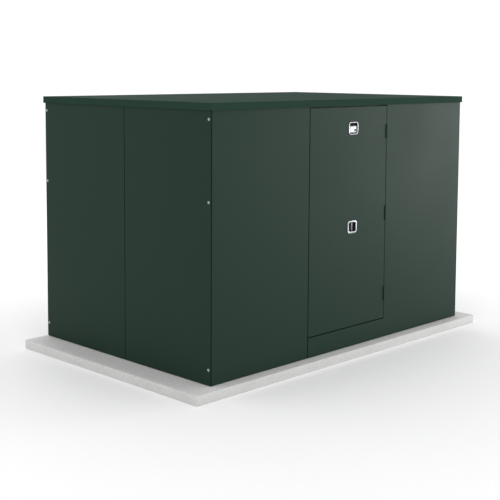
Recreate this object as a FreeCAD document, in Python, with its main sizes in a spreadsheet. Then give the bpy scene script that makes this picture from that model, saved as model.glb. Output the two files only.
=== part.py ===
"""Home standby generator in a weatherproof cabinet on a moulded pad.

Frame: millimetres, +Z up, origin at the middle of the pad's underside.  +X runs along the
cabinet towards its air outlet, and the service door and its latches face -Y.
"""
import FreeCAD, Part
import math
import os
import re

import Sketcher

Vector = FreeCAD.Vector
Rotation = FreeCAD.Rotation

# ------------------------------------------------------------------ driving sizes
SIZES = {
    # pad
    "pad_thickness": 38, "pad_left_margin": 112, "pad_right_margin": 84,
    "pad_front_margin": 49, "pad_back_margin": 10, "pad_corner": 6, "pad_edge": 4,
    # cabinet
    "body_length": 1600, "body_width": 1040, "body_height": 1046,
    "sheet": 2, "panel_depth": 22, "foot_gap": 2, "seam": 4, "corner_seam": 3,
    "roof_fold": 28, "roof_overhang": 6, "roof_gap": 4,
    "front_seam_at": 538, "end_seam_at": 500,
    "louvre_length": 300, "louvre_height": 9, "louvre_pitch": 30, "louvre_count": 14,
    "screw_head": 6, "screw_head_height": 2.5, "screw_inset": 12,
    # door
    "door_width": 499, "door_rise": 85, "door_depth": 16, "hinge_seam": 3,
    "seal_width": 14, "seal_gap": 0.3, "door_foam": 12,
    "hinge_height": 60, "hinge_inset": 110, "knuckle": 4, "hinge_wire": 2,
    "leaf": 2.5, "leaf_width": 34, "fit_gap": 0.05, "touch_gap": 0.3,
    # latches
    "latch_at": 810, "upper_latch_drop": 89, "lower_latch_rise": 511,
    "latch_width": 67, "latch_height": 58, "latch_rim": 2, "dish_width": 56, "dish_height": 44,
    "dish_depth": 15, "dish_wall": 1.5, "paddle_width": 50, "paddle_height": 26, "paddle_plate": 3,
    "paddle_pivot": 1.5, "key_radius": 4, "turn_length": 36, "turn_bar": 9, "turn_hub": 5,
    "bolt_height": 18, "bolt_plate": 4, "bolt_reach": 10, "bolt_slack": 0.4,
    # frame
    "rail_height": 90, "rail_width": 50, "rail_wall": 4, "cross_rail_width": 70,
    "anchor_radius": 6, "anchor_inset": 150, "post": 40, "post_wall": 3, "top_rail_height": 50,
    "door_lip": 18, "roof_foam": 20,
    # engine set
    "shaft_height": 430, "block_left": -190, "block_length": 460, "block_width": 300,
    "block_foot": 330, "block_height": 270, "pan_height": 90, "pan_width": 230,
    "head_height": 100, "head_width": 200, "cover_height": 70, "cover_width": 150,
    "crank": 30, "flywheel": 160, "flywheel_thickness": 30, "bell_radius": 205, "bell_length": 60,
    "stator_radius": 180, "stator_length": 360, "stator_bore": 113, "rotor_radius": 111,
    "pulley": 65, "pulley_width": 20, "belt": 6, "fan_rise": 200, "fan_radius": 195,
    "fan_hub": 45, "fan_depth": 40, "fan_blade": 4, "fan_shaft": 10,
    "mount_radius": 30, "mount_height": 60, "mount_plate": 12,
    # cooling
    "radiator_left": 480, "radiator_thickness": 60, "radiator_width": 520,
    "radiator_foot": 340, "radiator_top": 940, "radiator_leg": 15,
    "shroud_depth": 60, "shroud_foot": 400, "shroud_top": 862, "shroud_hole": 215,
    "hose": 19, "hose_bend": 70, "muffler_radius": 85, "muffler_length": 640, "exhaust": 26,
    # auxiliaries
    "battery_length": 260, "battery_width": 175, "battery_height": 200, "battery_tray": 20,
    "control_length": 210, "control_depth": 170, "control_height": 230,
    "fuel_bore": 12, "fuel_wall": 3, "fuel_rise": 190, "fuel_at": 40,
}

# ------------------------------------------------------------------ places worked out from them
PLACES = {
    "pad_length": "body_length + pad_left_margin + pad_right_margin",
    "pad_width": "body_width + pad_front_margin + pad_back_margin",
    "body_left": "pad_left_margin - pad_length / 2",
    "body_right": "body_left + body_length",
    "body_front": "pad_front_margin - pad_width / 2",
    "body_back": "body_front + body_width",
    "body_middle": "body_front + body_width / 2",
    "roof_top": "pad_thickness + body_height",
    "roof_under": "roof_top - sheet",
    "core_left": "body_left + panel_depth",
    "core_right": "body_right - panel_depth",
    "core_front": "body_front + panel_depth",
    "core_back": "body_back - panel_depth",
    "panel_foot": "pad_thickness + foot_gap",
    "panel_head": "roof_under - foot_gap",
    "rail_top": "pad_thickness + rail_height",
    "tray_top": "rail_top + sheet",
    "ring_foot": "roof_under - top_rail_height",
    "seam_line": "body_left + front_seam_at",
    "hinge_line": "seam_line + door_width",
    "end_seam_line": "body_front + end_seam_at",
    "door_left": "seam_line + seam / 2",
    "door_right": "hinge_line - hinge_seam / 2",
    "door_foot": "pad_thickness + door_rise + seam / 2",
    "door_head": "roof_top - roof_fold - roof_gap",
    "latch_line": "body_left + latch_at",
    "upper_latch": "door_head - upper_latch_drop",
    "lower_latch": "pad_thickness + lower_latch_rise",
    "block_right": "block_left + block_length",
    "block_top": "block_foot + block_height",
    "head_top": "block_top + head_height",
    "bell_left": "block_left - bell_length",
    "stator_left": "bell_left - stator_length",
    "fan_line": "shaft_height + fan_rise",
    "pulley_left": "block_right + 28",
    "pulley_right": "pulley_left + pulley_width",
    "fan_left": "radiator_left - shroud_depth - fan_depth / 2",
    "bulkhead_left": "radiator_left + radiator_thickness",
    "muffler_line": "(bulkhead_left + core_right) / 2",
    "muffler_height": "(shaft_height + fan_line) / 2 + 170",
    "exhaust_line": "body_middle + radiator_width / 2 + radiator_leg + exhaust + 30",
    "control_left": "door_left + 25",
    "control_front": "core_front + 40",
    "control_foot": "ring_foot - control_height",
}

doc = FreeCAD.newDocument("standby_generator")
parts = {}


def write_sheet():
    """Put the driving sizes, then the places worked out from them, in the document's sheet."""
    sheet = doc.addObject("Spreadsheet::Sheet", "Sizes")
    row = 0
    for alias, value in list(SIZES.items()) + list(PLACES.items()):
        row += 1
        sheet.set(f"A{row}", alias)
        sheet.set(f"B{row}", f"={value}" if alias in PLACES else str(value))
        sheet.setAlias(f"B{row}", alias)
    doc.recompute()
    return sheet


sizes = write_sheet()


def bound(formula):
    """Return a formula of sheet names as an expression that reads the sheet."""
    def swap(match):
        word = match.group(0)
        return f"Sizes.{word}" if word in SIZES or word in PLACES else word
    return re.sub(r"[A-Za-z_]\w*", swap, str(formula))


def number(formula):
    """Return the present value of a formula of sheet names."""
    return float(sizes.evalExpression(bound(formula)))


# ------------------------------------------------------------------ primitives and booleans
def bind(thing, **formulas):
    """Bind properties of an object to formulas."""
    for name, formula in formulas.items():
        thing.setExpression(name, bound(formula))
    return thing


def seat(thing, x, y, z, rotation=None):
    """Put an object at a place given by three formulas, turned first if a rotation is given."""
    thing.Placement = FreeCAD.Placement(Vector(), rotation or Rotation())
    for axis, formula in zip("xyz", (x, y, z)):
        thing.setExpression(f"Placement.Base.{axis}", bound(formula))
    return thing


def box(x, y, z, length, width, height):
    """Add a block from its low corner and its three sides."""
    thing = doc.addObject("Part::Box", "Block")
    bind(thing, Length=length, Width=width, Height=height)
    return seat(thing, x, y, z)


def span(x_low, x_high, y_low, y_high, z_low, z_high):
    """Add a block from its low and high faces."""
    return box(x_low, y_low, z_low, f"({x_high}) - ({x_low})",
               f"({y_high}) - ({y_low})", f"({z_high}) - ({z_low})")


TURNS = {"x": Rotation(Vector(0, 1, 0), 90), "y": Rotation(Vector(1, 0, 0), -90), "z": Rotation()}


def rod(axis, x, y, z, radius, length):
    """Add a round bar that starts at a point and runs the positive way along an axis."""
    thing = doc.addObject("Part::Cylinder", "Bar")
    bind(thing, Radius=radius, Height=length)
    return seat(thing, x, y, z, TURNS[axis])


def joined(*things):
    """Fuse touching or overlapping shapes into one solid."""
    fused = doc.addObject("Part::MultiFuse", "Joined")
    fused.Shapes = list(things)
    return fused


def cut(base, *tools):
    """Cut tools out of a base."""
    result = doc.addObject("Part::Cut", "Cut")
    result.Base = base
    result.Tool = tools[0] if len(tools) == 1 else joined(*tools)
    return result


def group(*things):
    """Hold separate solids in one sub-part."""
    bundle = doc.addObject("Part::Compound", "Group")
    bundle.Links = list(things)
    return bundle


def part(label, thing):
    """Name a finished object as a sub-part."""
    thing.Label = label
    parts[label] = thing
    return thing


def symmetric_y(half):
    """Return the low and high Y formulas of something centred on the shaft line."""
    return f"body_middle - ({half})", f"body_middle + ({half})"


# ------------------------------------------------------------------ part design helpers
PLANES = {"top": "XY_Plane", "front": "XZ_Plane", "side": "YZ_Plane"}


def new_body(label):
    """Add an empty part-design body that is a sub-part."""
    body = doc.addObject("PartDesign::Body", "Body")
    return part(label, body)


def sketch_on(body, plane, offset="0"):
    """Add a sketch on one of the body's origin planes, moved along that plane's normal."""
    sketch = body.newObject("Sketcher::SketchObject", "Sketch")
    role = PLANES[plane]
    feature = next(item for item in body.Origin.OriginFeatures if item.Role == role)
    sketch.AttachmentSupport = (feature, "")
    sketch.MapMode = "FlatFace"
    sketch.setExpression("AttachmentOffset.Base.z", bound(offset))
    return sketch


def fix_point(sketch, edge, end, across, up, name):
    """Pin a sketch point to two formulas measured from the sketch's origin."""
    x = number(across)
    y = number(up)
    for kind, value, formula, tag in (("DistanceX", x, across, "x"), ("DistanceY", y, up, "y")):
        index = sketch.addConstraint(Sketcher.Constraint(kind, -1, 1, edge, end, value))
        sketch.renameConstraint(index, f"{name}{tag}")
        sketch.setExpression(f"Constraints.{name}{tag}", bound(formula))


def polygon(sketch, points, name="corner"):
    """Draw a closed outline of straight lines through points given as pairs of formulas."""
    spots = [Vector(number(across), number(up), 0) for across, up in points]
    count = len(spots)
    first = sketch.GeometryCount
    for index in range(count):
        sketch.addGeometry(Part.LineSegment(spots[index], spots[(index + 1) % count]), False)
    for index in range(count):
        edge = first + index
        after = first + (index + 1) % count
        sketch.addConstraint(Sketcher.Constraint("Coincident", edge, 2, after, 1))
        fix_point(sketch, edge, 1, *points[index], f"{name}{first}_{index}")


def rectangle(sketch, across_low, across_high, up_low, up_high, name="corner"):
    """Draw a rectangle between four formulas."""
    polygon(sketch, [(across_low, up_low), (across_high, up_low),
                     (across_high, up_high), (across_low, up_high)], name)


def circle(sketch, across, up, radius, name="centre"):
    """Draw a circle whose centre and radius are formulas."""
    shape = Part.Circle(Vector(number(across), number(up), 0), Vector(0, 0, 1), number(radius))
    edge = sketch.addGeometry(shape, False)
    fix_point(sketch, edge, 3, across, up, f"{name}{edge}")
    index = sketch.addConstraint(Sketcher.Constraint("Radius", edge, number(radius)))
    sketch.renameConstraint(index, f"{name}{edge}r")
    sketch.setExpression(f"Constraints.{name}{edge}r", bound(radius))


def pad(body, sketch, length, backwards=False):
    """Thicken a sketch along its normal, or against it."""
    feature = body.newObject("PartDesign::Pad", "Pad")
    feature.Profile = sketch
    feature.Reversed = backwards
    bind(feature, Length=length)
    doc.recompute()
    return feature


def pocket(body, sketch, length, backwards=False):
    """Cut a sketch into the body and check that it took something away."""
    before = body.Shape.Volume
    feature = body.newObject("PartDesign::Pocket", "Pocket")
    feature.Profile = sketch
    feature.Reversed = backwards
    bind(feature, Length=length)
    doc.recompute()
    if body.Shape.Volume >= before:
        raise RuntimeError(f"{body.Label}: a pocket cuts nothing")
    return feature


def revolve(label, axis_height, profile):
    """Add a body turned about a line along X through the shaft plane.

    profile is a list of (place along X, distance from the axis) formulas.  With an empty label
    the body is a piece of another sub-part.
    """
    body = new_body(label) if label else doc.addObject("PartDesign::Body", "Turned")
    sketch = sketch_on(body, "front")
    polygon(sketch, profile)
    feature = body.newObject("PartDesign::Revolution", "Revolution")
    feature.Profile = sketch
    feature.ReferenceAxis = (sketch, ["H_Axis"])
    feature.Angle = 360
    seat(body, "0", "body_middle", axis_height)
    doc.recompute()
    return body


# ------------------------------------------------------------------ pad and frame
def make_pad():
    """Moulded pad: a slab with rounded corners and an eased top edge."""
    body = new_body("mounting_pad")
    outline = sketch_on(body, "top")
    rectangle(outline, "-pad_length / 2", "pad_length / 2", "-pad_width / 2", "pad_width / 2")
    slab = pad(body, outline, "pad_thickness")
    corners = [f"Edge{index + 1}" for index, edge in enumerate(body.Shape.Edges)
               if abs(edge.tangentAt(edge.FirstParameter).z) > 0.9]
    round_off = body.newObject("PartDesign::Fillet", "Corners")
    round_off.Base = (slab, corners)
    bind(round_off, Radius="pad_corner")
    doc.recompute()
    top = number("pad_thickness")
    rim = [f"Edge{index + 1}" for index, edge in enumerate(body.Shape.Edges)
           if all(abs(vertex.Z - top) < 0.01 for vertex in edge.Vertexes)]
    ease = body.newObject("PartDesign::Chamfer", "Rim")
    ease.Base = (round_off, rim)
    bind(ease, Size="pad_edge")
    doc.recompute()
    bores = sketch_on(body, "top", "pad_thickness")
    for x, y in anchor_places():
        circle(bores, x, y, "anchor_radius")
    pocket(body, bores, "pad_thickness")
    stub = sketch_on(body, "top", "pad_thickness")
    rectangle(stub, *stub_up())
    pocket(body, stub, "pad_thickness")


def stub_up():
    """Low and high X, low and high Y of the cable opening through the pad and the floor."""
    return "core_left + 70", "core_left + 180", "core_front + 70", "core_front + 230"


def anchor_places():
    """Centres of the four anchor bolts, on the long rails' middle lines."""
    return [(x, y) for x in ("core_left + anchor_inset", "core_right - anchor_inset")
            for y in ("core_front + rail_width / 2", "core_back - rail_width / 2")]


def make_anchor_bolts():
    """Four bolts: shanks down through rail and pad, heads on the rails' lower webs."""
    bolts = []
    for x, y in anchor_places():
        shank = rod("z", x, y, "0", "anchor_radius - fit_gap", "pad_thickness + rail_wall")
        head = rod("z", x, y, "pad_thickness + rail_wall", "anchor_radius * 1.8", "8")
        bolts.append(joined(shank, head))
    part("anchor_bolts", group(*bolts))


def make_base_frame():
    """Welded perimeter of channels, open inwards, with two cross rails under the engine set."""
    outer = span("core_left", "core_right", "core_front", "core_back", "pad_thickness", "rail_top")
    hollow = span("core_left + rail_width", "core_right - rail_width",
                  "core_front + rail_width", "core_back - rail_width",
                  "pad_thickness - 1", "rail_top + 1")
    slot = span("core_left + rail_wall", "core_right - rail_wall",
                "core_front + rail_wall", "core_back - rail_wall",
                "pad_thickness + rail_wall", "rail_top - rail_wall")
    ring = cut(outer, hollow, slot)
    rails = [span(x, f"{x} + cross_rail_width", "core_front + rail_wall", "core_back - rail_wall",
                  "pad_thickness + rail_wall", "rail_top - rail_wall")
             for x in cross_rail_places()]
    bores = [rod("z", x, y, "0", "anchor_radius", "pad_thickness + 2 * rail_wall")
             for x, y in anchor_places()]
    part("base_frame", cut(joined(ring, *rails), *bores))


def cross_rail_places():
    """Low X of the two cross rails, under the alternator's and the engine's feet."""
    return "stator_left + 40", "block_right - 130"


def make_floor():
    """Floor sheet on the base frame, open over the cable entry."""
    plate = span("core_left", "core_right", "core_front", "core_back", "rail_top", "tray_top")
    x_low, x_high, y_low, y_high = stub_up()
    entry = span(x_low, x_high, y_low, y_high, "rail_top - 1", "tray_top + 1")
    part("floor_tray", cut(plate, entry))


def angle_post(x_low, y_low, x_web, y_web):
    """Upright angle from the floor to the top ring.

    x_web and y_web say on which side, low or high, each web of the angle stands.
    """
    outer = box(x_low, y_low, "tray_top", "post", "post", "ring_foot - tray_top")
    x_shift = "post_wall" if x_web == "low" else "-post_wall"
    y_shift = "post_wall" if y_web == "low" else "-post_wall"
    inner = box(f"{x_low} + {x_shift}", f"{y_low} + {y_shift}", "tray_top - 1",
                "post", "post", "ring_foot - tray_top + 2")
    return cut(outer, inner)


def make_post_frame():
    """Corner and seam posts under a ring of angle that carries the roof."""
    far_x = "core_right - post"
    far_y = "core_back - post"
    posts = [
        angle_post("core_left", "core_front", "low", "low"),
        angle_post("core_left", far_y, "low", "high"),
        angle_post(far_x, "core_front", "high", "low"),
        angle_post(far_x, far_y, "high", "high"),
        angle_post("core_left", "end_seam_line - post / 2", "low", "low"),
        angle_post("body_left + body_length / 2 - post / 2", far_y, "low", "high"),
    ]
    ring = cut(
        span("core_left", "core_right", "core_front", "core_back", "ring_foot", "roof_under"),
        span("core_left + post_wall", "core_right - post_wall", "core_front + post_wall",
             "core_back - post_wall", "ring_foot - 1", "roof_under - post_wall"),
        span("core_left + post", "core_right - post", "core_front + post", "core_back - post",
             "ring_foot - 1", "roof_under + 1"))
    bars = [span(x_low, x_high, "core_front", "core_front + post_wall", "tray_top", "ring_foot")
            for x_low, x_high in (("seam_line - 32", "door_left + door_lip"),
                                  ("door_right - door_lip", "hinge_line + 32"))]
    sill = span("door_left", "door_right", "core_front", "core_front + post_wall",
                "tray_top", "door_foot + door_lip + 8")
    hangers = [box(f"control_left + {shift}", "core_front + post_wall", "ring_foot",
                   "30", "core_back - core_front - 2 * post_wall", "top_rail_height - post_wall")
               for shift in ("15", "control_length - 45")]
    part("post_frame", joined(*posts, ring, *bars, sill, *hangers))


def make_bulkhead():
    """Sheet wall behind the radiator that parts the engine bay from the outlet duct."""
    y_low, y_high = symmetric_y("radiator_width / 2 - 20")
    wall = span("bulkhead_left", "bulkhead_left + sheet", "core_front + post_wall",
                "core_back - post_wall", "tray_top", "ring_foot")
    window = span("bulkhead_left - 1", "bulkhead_left + sheet + 1", y_low, y_high,
                  "radiator_foot + 20", "radiator_top - 20")
    pipe = rod("x", "bulkhead_left - 1", "exhaust_line", "muffler_height", "exhaust + 4", "sheet + 2")
    part("bulkhead", cut(wall, window, pipe))


# ------------------------------------------------------------------ cabinet skin
def tray_panel(label, plane, face, depth, outline, rear, turned, holes=(), open_edges=()):
    """Folded panel: a face sheet with a flange all round that turns towards the frame.

    face is where the outer face lies along the plane's normal, depth the flange's depth and
    turned says that the flanges run against the normal.  outline is (low, high, low, high);
    open_edges names upright sides that have no flange and lap over the next panel's.  holes is
    a list of outlines cut right through.
    """
    body = new_body(label)
    low, high, foot, head = outline
    skin = sketch_on(body, plane, face)
    rectangle(skin, low, high, foot, head)
    pad(body, skin, depth, turned)
    inset = {side: ("0" if side in open_edges else "sheet") for side in ("low", "high", "foot", "head")}
    hollow = sketch_on(body, plane, rear)
    rectangle(hollow, f"{low} + {inset['low']}", f"{high} - {inset['high']}",
              f"{foot} + {inset['foot']}", f"{head} - {inset['head']}")
    pocket(body, hollow, f"{depth} - sheet", turned)
    for side in open_edges:
        strip = (low, f"{low} + {depth}") if side == "low" else (f"{high} - {depth}", high)
        relief = sketch_on(body, plane, rear)
        rectangle(relief, *strip, foot, head)
        pocket(body, relief, f"{depth} - sheet", turned)
    for hole in holes:
        opening = sketch_on(body, plane, face)
        rectangle(opening, *hole)
        pocket(body, opening, depth, not turned)
    return body


def louvres(body, plane, face, low, foot, turned):
    """Cut a column of level slots through a panel's face sheet."""
    slot = sketch_on(body, plane, face)
    rectangle(slot, low, f"{low} + louvre_length", foot, f"{foot} + louvre_height")
    first = pocket(body, slot, "sheet", not turned)
    column = body.newObject("PartDesign::LinearPattern", "Louvres")
    column.Originals = [first]
    column.Direction = (slot, ["V_Axis"])
    bind(column, Length="louvre_pitch * (louvre_count - 1)", Occurrences="louvre_count")
    body.Tip = column
    doc.recompute()


def make_end_panels():
    """Two panels that meet at the seam of the closed end."""
    halves = {
        "end_panel_front": ("body_front + 1", "end_seam_line - corner_seam / 2"),
        "end_panel_rear": ("end_seam_line + corner_seam / 2", "body_back - 1"),
    }
    for label, (low, high) in halves.items():
        corner = "low" if label == "end_panel_front" else "high"
        tray_panel(label, "side", "body_left", "panel_depth", (low, high, "panel_foot", "panel_head"),
                   "body_left + panel_depth", False, open_edges=(corner,))


def make_outlet_panel():
    """Panel of the outlet end, with two columns of louvres for the cooling air."""
    body = tray_panel("outlet_panel", "side", "body_right", "panel_depth",
                      ("body_front + 1", "body_back - 1", "panel_foot", "panel_head"),
                      "body_right - panel_depth", True, open_edges=("low", "high"))
    louvres(body, "side", "body_right", "body_middle - louvre_length - 40", "roof_top - 620", True)
    louvres(body, "side", "body_right", "body_middle + 40", "roof_top - 620", True)


def bolt_window(height, low, high):
    """Outline of the slot that a latch bolt passes through, in a flange."""
    return (low, high, f"{height} - bolt_height / 2 - bolt_slack",
            f"{height} + bolt_height / 2 + bolt_slack")


def make_front_panels():
    """Tall panel left of the seam, and the fixed panel that runs under and beside the door."""
    corner = "body_left + sheet + corner_seam"
    body = tray_panel("front_panel", "front", "-body_front", "panel_depth",
                      (corner, "seam_line - seam / 2", "panel_foot", "panel_head"),
                      "-core_front", True)
    cut_bolt_slots(body, "seam_line - seam / 2 - sheet - 1", "seam_line - seam / 2 + 1")
    side = new_body("door_side_panel")
    skin = sketch_on(side, "front", "-body_front")
    sill = "door_foot - seam"
    jamb = "hinge_line + hinge_seam / 2"
    far = "body_right - sheet - corner_seam"
    low = "seam_line + seam / 2"
    polygon(skin, [(low, "panel_foot"), (far, "panel_foot"), (far, "panel_head"),
                   (jamb, "panel_head"), (jamb, sill), (low, sill)])
    pad(side, skin, "panel_depth", True)
    hollow = sketch_on(side, "front", "-core_front")
    polygon(hollow, [(f"{low} + sheet", "panel_foot + sheet"), (f"{far} - sheet", "panel_foot + sheet"),
                     (f"{far} - sheet", "panel_head - sheet"), (f"{jamb} + sheet", "panel_head - sheet"),
                     (f"{jamb} + sheet", f"{sill} - sheet"), (f"{low} + sheet", f"{sill} - sheet")])
    pocket(side, hollow, "panel_depth - sheet", True)
    notch_hinges(side, jamb, f"{jamb} + 5")


def cut_bolt_slots(body, low, high):
    """Cut the slots for both latch bolts through the upright flange between low and high."""
    for height in ("upper_latch", "lower_latch"):
        slot = sketch_on(body, "front", f"-({bolt_plane()} - bolt_slack)")
        rectangle(slot, *bolt_window(height, low, high))
        pocket(body, slot, "bolt_plate + 2 * bolt_slack", False)


def bolt_plane():
    """Front face of the latch bolts, behind the door's sheet."""
    return "body_front + sheet + 4"


def hinge_heights():
    """Middle heights of the three hinges."""
    return ("door_foot + hinge_inset", "(door_foot + door_head) / 2", "door_head - hinge_inset")


def notch_hinges(body, low, high):
    """Notch a panel's edge where the hinge knuckles stand."""
    for height in hinge_heights():
        notch = sketch_on(body, "front", "-body_front")
        rectangle(notch, low, high, f"{height} - hinge_height / 2 - 1", f"{height} + hinge_height / 2 + 1")
        pocket(body, notch, "panel_depth", False)


def make_rear_panels():
    """Two rear panels with the intake louvres, and the bore for the fuel inlet in one."""
    middle = "body_left + body_length / 2"
    halves = {
        "rear_panel_left": ("body_left + sheet + corner_seam", f"{middle} - seam / 2"),
        "rear_panel_right": (f"{middle} + seam / 2", "body_right - sheet - corner_seam"),
    }
    for label, (low, high) in halves.items():
        body = tray_panel(label, "front", "-body_back", "panel_depth",
                          (low, high, "panel_foot", "panel_head"), "-core_back", False)
        if label == "rear_panel_left":
            for column in ("body_left + 80", f"{middle} - louvre_length - 60"):
                louvres(body, "front", "-body_back", column, "roof_top - 560", False)
            continue
        inlet = sketch_on(body, "front", "-body_back")
        circle(inlet, "fuel_at + 100", "fuel_rise", "fuel_bore + fuel_wall + 3")
        pocket(body, inlet, "sheet", True)


def make_roof():
    """Flat roof sheet with its edges folded down over the panels."""
    body = new_body("roof")
    cap = sketch_on(body, "top", "roof_top")
    rectangle(cap, "body_left - roof_overhang", "body_right + roof_overhang",
              "body_front - roof_overhang", "body_back + roof_overhang")
    pad(body, cap, "roof_fold", True)
    hollow = sketch_on(body, "top", "roof_top - roof_fold")
    rectangle(hollow, "body_left - roof_overhang + sheet", "body_right + roof_overhang - sheet",
              "body_front - roof_overhang + sheet", "body_back + roof_overhang - sheet")
    pocket(body, hollow, "roof_fold - sheet", True)


def make_linings():
    """Acoustic foam under the roof, notched where the control box hangs."""
    part("roof_liner", cut(
        span("core_left + post + 2", "core_right - post - 2", "core_front + post + 2",
             "core_back - post - 2", "roof_under - roof_foam", "roof_under"),
        *[box(f"control_left + {shift}", "core_front", "ring_foot", "32",
              "body_width", "top_rail_height") for shift in ("14", "control_length - 46")]))


def make_panel_screws():
    """Button-head screws that hold the skin: shank in the flange or post, head on the sheet."""
    screws = []
    levels = ("pad_thickness + 60", "pad_thickness + body_height * 0.653", "roof_top - 60")
    for level in levels:
        for side, x, way in (("left", "body_left", 1), ("right", "body_right", -1)):
            for y in ("body_front + screw_inset", "body_back - screw_inset"):
                head_x = f"{x} - screw_head_height" if way > 0 else x
                screws.append(rod("x", head_x, y, level, "screw_head", "screw_head_height"))
    part("panel_screws", group(*screws))


# ------------------------------------------------------------------ door, hinges and latches
def make_door():
    """Service door: a folded tray with cut-outs for the latches, the bolts and the hinges."""
    windows = [("latch_line - dish_width / 2", "latch_line + dish_width / 2",
                f"{height} - dish_height / 2", f"{height} + dish_height / 2")
               for height in ("upper_latch", "lower_latch")]
    body = tray_panel("service_door", "front", "-body_front", "door_depth",
                      ("door_left", "door_right", "door_foot", "door_head"),
                      "-(body_front + door_depth)", True, holes=windows)
    cut_bolt_slots(body, "door_left - 1", "door_left + sheet + 1")
    notch_hinges(body, "door_right - 5", "door_right")


def make_door_liner():
    """Foam in the door's tray, cut away around the dishes and the bolts' runs."""
    foam = span("door_left + sheet + 2", "door_right - leaf_width - 4", "body_front + sheet",
                "body_front + sheet + door_foam", "door_foot + sheet + 2", "door_head - sheet - 2")
    runs = [span("door_left", "latch_line + dish_width / 2 + 6", "body_front", "body_front + door_depth",
                 f"{height} - dish_height / 2 - 6", f"{height} + dish_height / 2 + 6")
            for height in ("upper_latch", "lower_latch")]
    part("door_liner", cut(foam, *runs))


def make_door_seal():
    """Rubber ring on the frame that the door's flanges close against."""
    front = "body_front + door_depth + seal_gap"
    low = "door_left + 1"
    high = "door_right - 1"
    outer = span(low, high, front, "core_front", "door_foot + 1", "door_head - 1")
    inner = span(f"{low} + seal_width", f"{high} - seal_width", "body_front", "core_front + 1",
                 "door_foot + 1 + seal_width", "door_head - 1 - seal_width")
    part("door_seal", cut(outer, inner))


def hinge_leaf(side, low, high):
    """One leaf of every hinge: plate behind the sheet, web through the notch, and knuckle.

    side is -1 for the door's leaf and 1 for the fixed one; low and high are formulas of the
    knuckle's ends, measured from the hinge's middle height.
    """
    leaves = []
    for height in hinge_heights():
        foot = f"{height} + {low}"
        rise = f"({high}) - ({low})"
        edge = "hinge_line - leaf_width" if side < 0 else "hinge_line + 1.5"
        plate = box(edge, "body_front + sheet", foot, "leaf_width - 1.5", "leaf", rise)
        web_edge = "hinge_line - 3.5" if side < 0 else "hinge_line + 1.5"
        web = box(web_edge, "body_front", foot, "2", "sheet + leaf", rise)
        knuckle = rod("z", "hinge_line", "body_front", foot, "knuckle", rise)
        bore_radius = "hinge_wire + fit_gap" if side < 0 else "hinge_wire"
        bore = rod("z", "hinge_line", "body_front", f"{foot} - 1", bore_radius, f"{rise} + 2")
        leaves.append(cut(joined(plate, web, knuckle), bore))
    return group(*leaves)


def make_hinges():
    """Three lift-off hinges: fixed leaves below, door leaves above, on plain pins."""
    part("hinge_leaf_fixed", hinge_leaf(1, "-hinge_height / 2", "-touch_gap / 2"))
    part("hinge_leaf_door", hinge_leaf(-1, "touch_gap / 2", "hinge_height / 2"))
    pins = [rod("z", "hinge_line", "body_front", f"{height} - hinge_height / 2", "hinge_wire",
                "hinge_height - 2") for height in hinge_heights()]
    part("hinge_pins", group(*pins))


def latch_dish(height, extra_bores):
    """Pressed dish with a rim that lies on the door's face."""
    rim = box("latch_line - latch_width / 2", "body_front - latch_rim", f"{height} - latch_height / 2",
              "latch_width", "latch_rim", "latch_height")
    tub = box("latch_line - dish_width / 2", "body_front", f"{height} - dish_height / 2",
              "dish_width", "dish_depth", "dish_height")
    well = box("latch_line - dish_width / 2 + dish_wall", "body_front - latch_rim - 1",
               f"{height} - dish_height / 2 + dish_wall", "dish_width - 2 * dish_wall",
               "dish_depth + latch_rim + 1 - dish_wall", "dish_height - 2 * dish_wall")
    return cut(joined(rim, tub), well, *extra_bores)


def paddle_pivot():
    """Y and Z of the upper latch's paddle pivot."""
    return "body_front + 3", "upper_latch - dish_height / 2 + dish_wall + 4"


def make_latches():
    """Upper paddle latch and lower turn latch, each with the bolt that it draws."""
    pivot_y, pivot_z = paddle_pivot()
    pin_bore = rod("x", "latch_line - dish_width", pivot_y, pivot_z, "paddle_pivot + fit_gap",
                   "2 * dish_width")
    hub_bore = rod("y", "latch_line", "body_front", "lower_latch", "turn_hub + fit_gap", "dish_depth + 2")
    part("latch_dishes", group(latch_dish("upper_latch", [pin_bore]), latch_dish("lower_latch", [hub_bore])))

    plate = box("latch_line - paddle_width / 2", "body_front + 1.5", f"{pivot_z}",
                "paddle_width", "paddle_plate", "paddle_height")
    hub = rod("x", "latch_line - paddle_width / 2", pivot_y, pivot_z, "2.5", "paddle_width")
    pivot = rod("x", "latch_line - dish_width / 2", pivot_y, pivot_z, "paddle_pivot", "dish_width")
    lock_x, lock_z = key_place()
    lock_bore = rod("y", lock_x, "body_front", lock_z, "key_radius + fit_gap", "10")
    part("upper_paddle", cut(joined(plate, hub, pivot), lock_bore))
    barrel = rod("y", lock_x, "body_front + 1", lock_z, "key_radius", "7")
    slot = box(f"{lock_x} - 0.6", "body_front", f"{lock_z} - 2.5", "1.2", "3", "5")
    part("upper_key", cut(barrel, slot))

    bar = box("latch_line - turn_bar / 2", "body_front + 1", "lower_latch - turn_length / 2",
              "turn_bar", "6", "turn_length")
    hub = rod("y", "latch_line", "body_front + 1", "lower_latch", "turn_hub", "dish_depth + 4")
    part("lower_turn_handle", joined(bar, hub))

    for label, height in (("upper_bolt", "upper_latch"), ("lower_bolt", "lower_latch")):
        reach = box("seam_line - bolt_reach", bolt_plane(), f"{height} - bolt_height / 2",
                    "latch_line - dish_width / 2 - 20 - seam_line + bolt_reach", "bolt_plate", "bolt_height")
        part(label, reach)


def key_place():
    """X and Z of the key cylinder in the upper paddle."""
    return "latch_line + paddle_width / 2 - 11", "upper_latch - 8"


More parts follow.
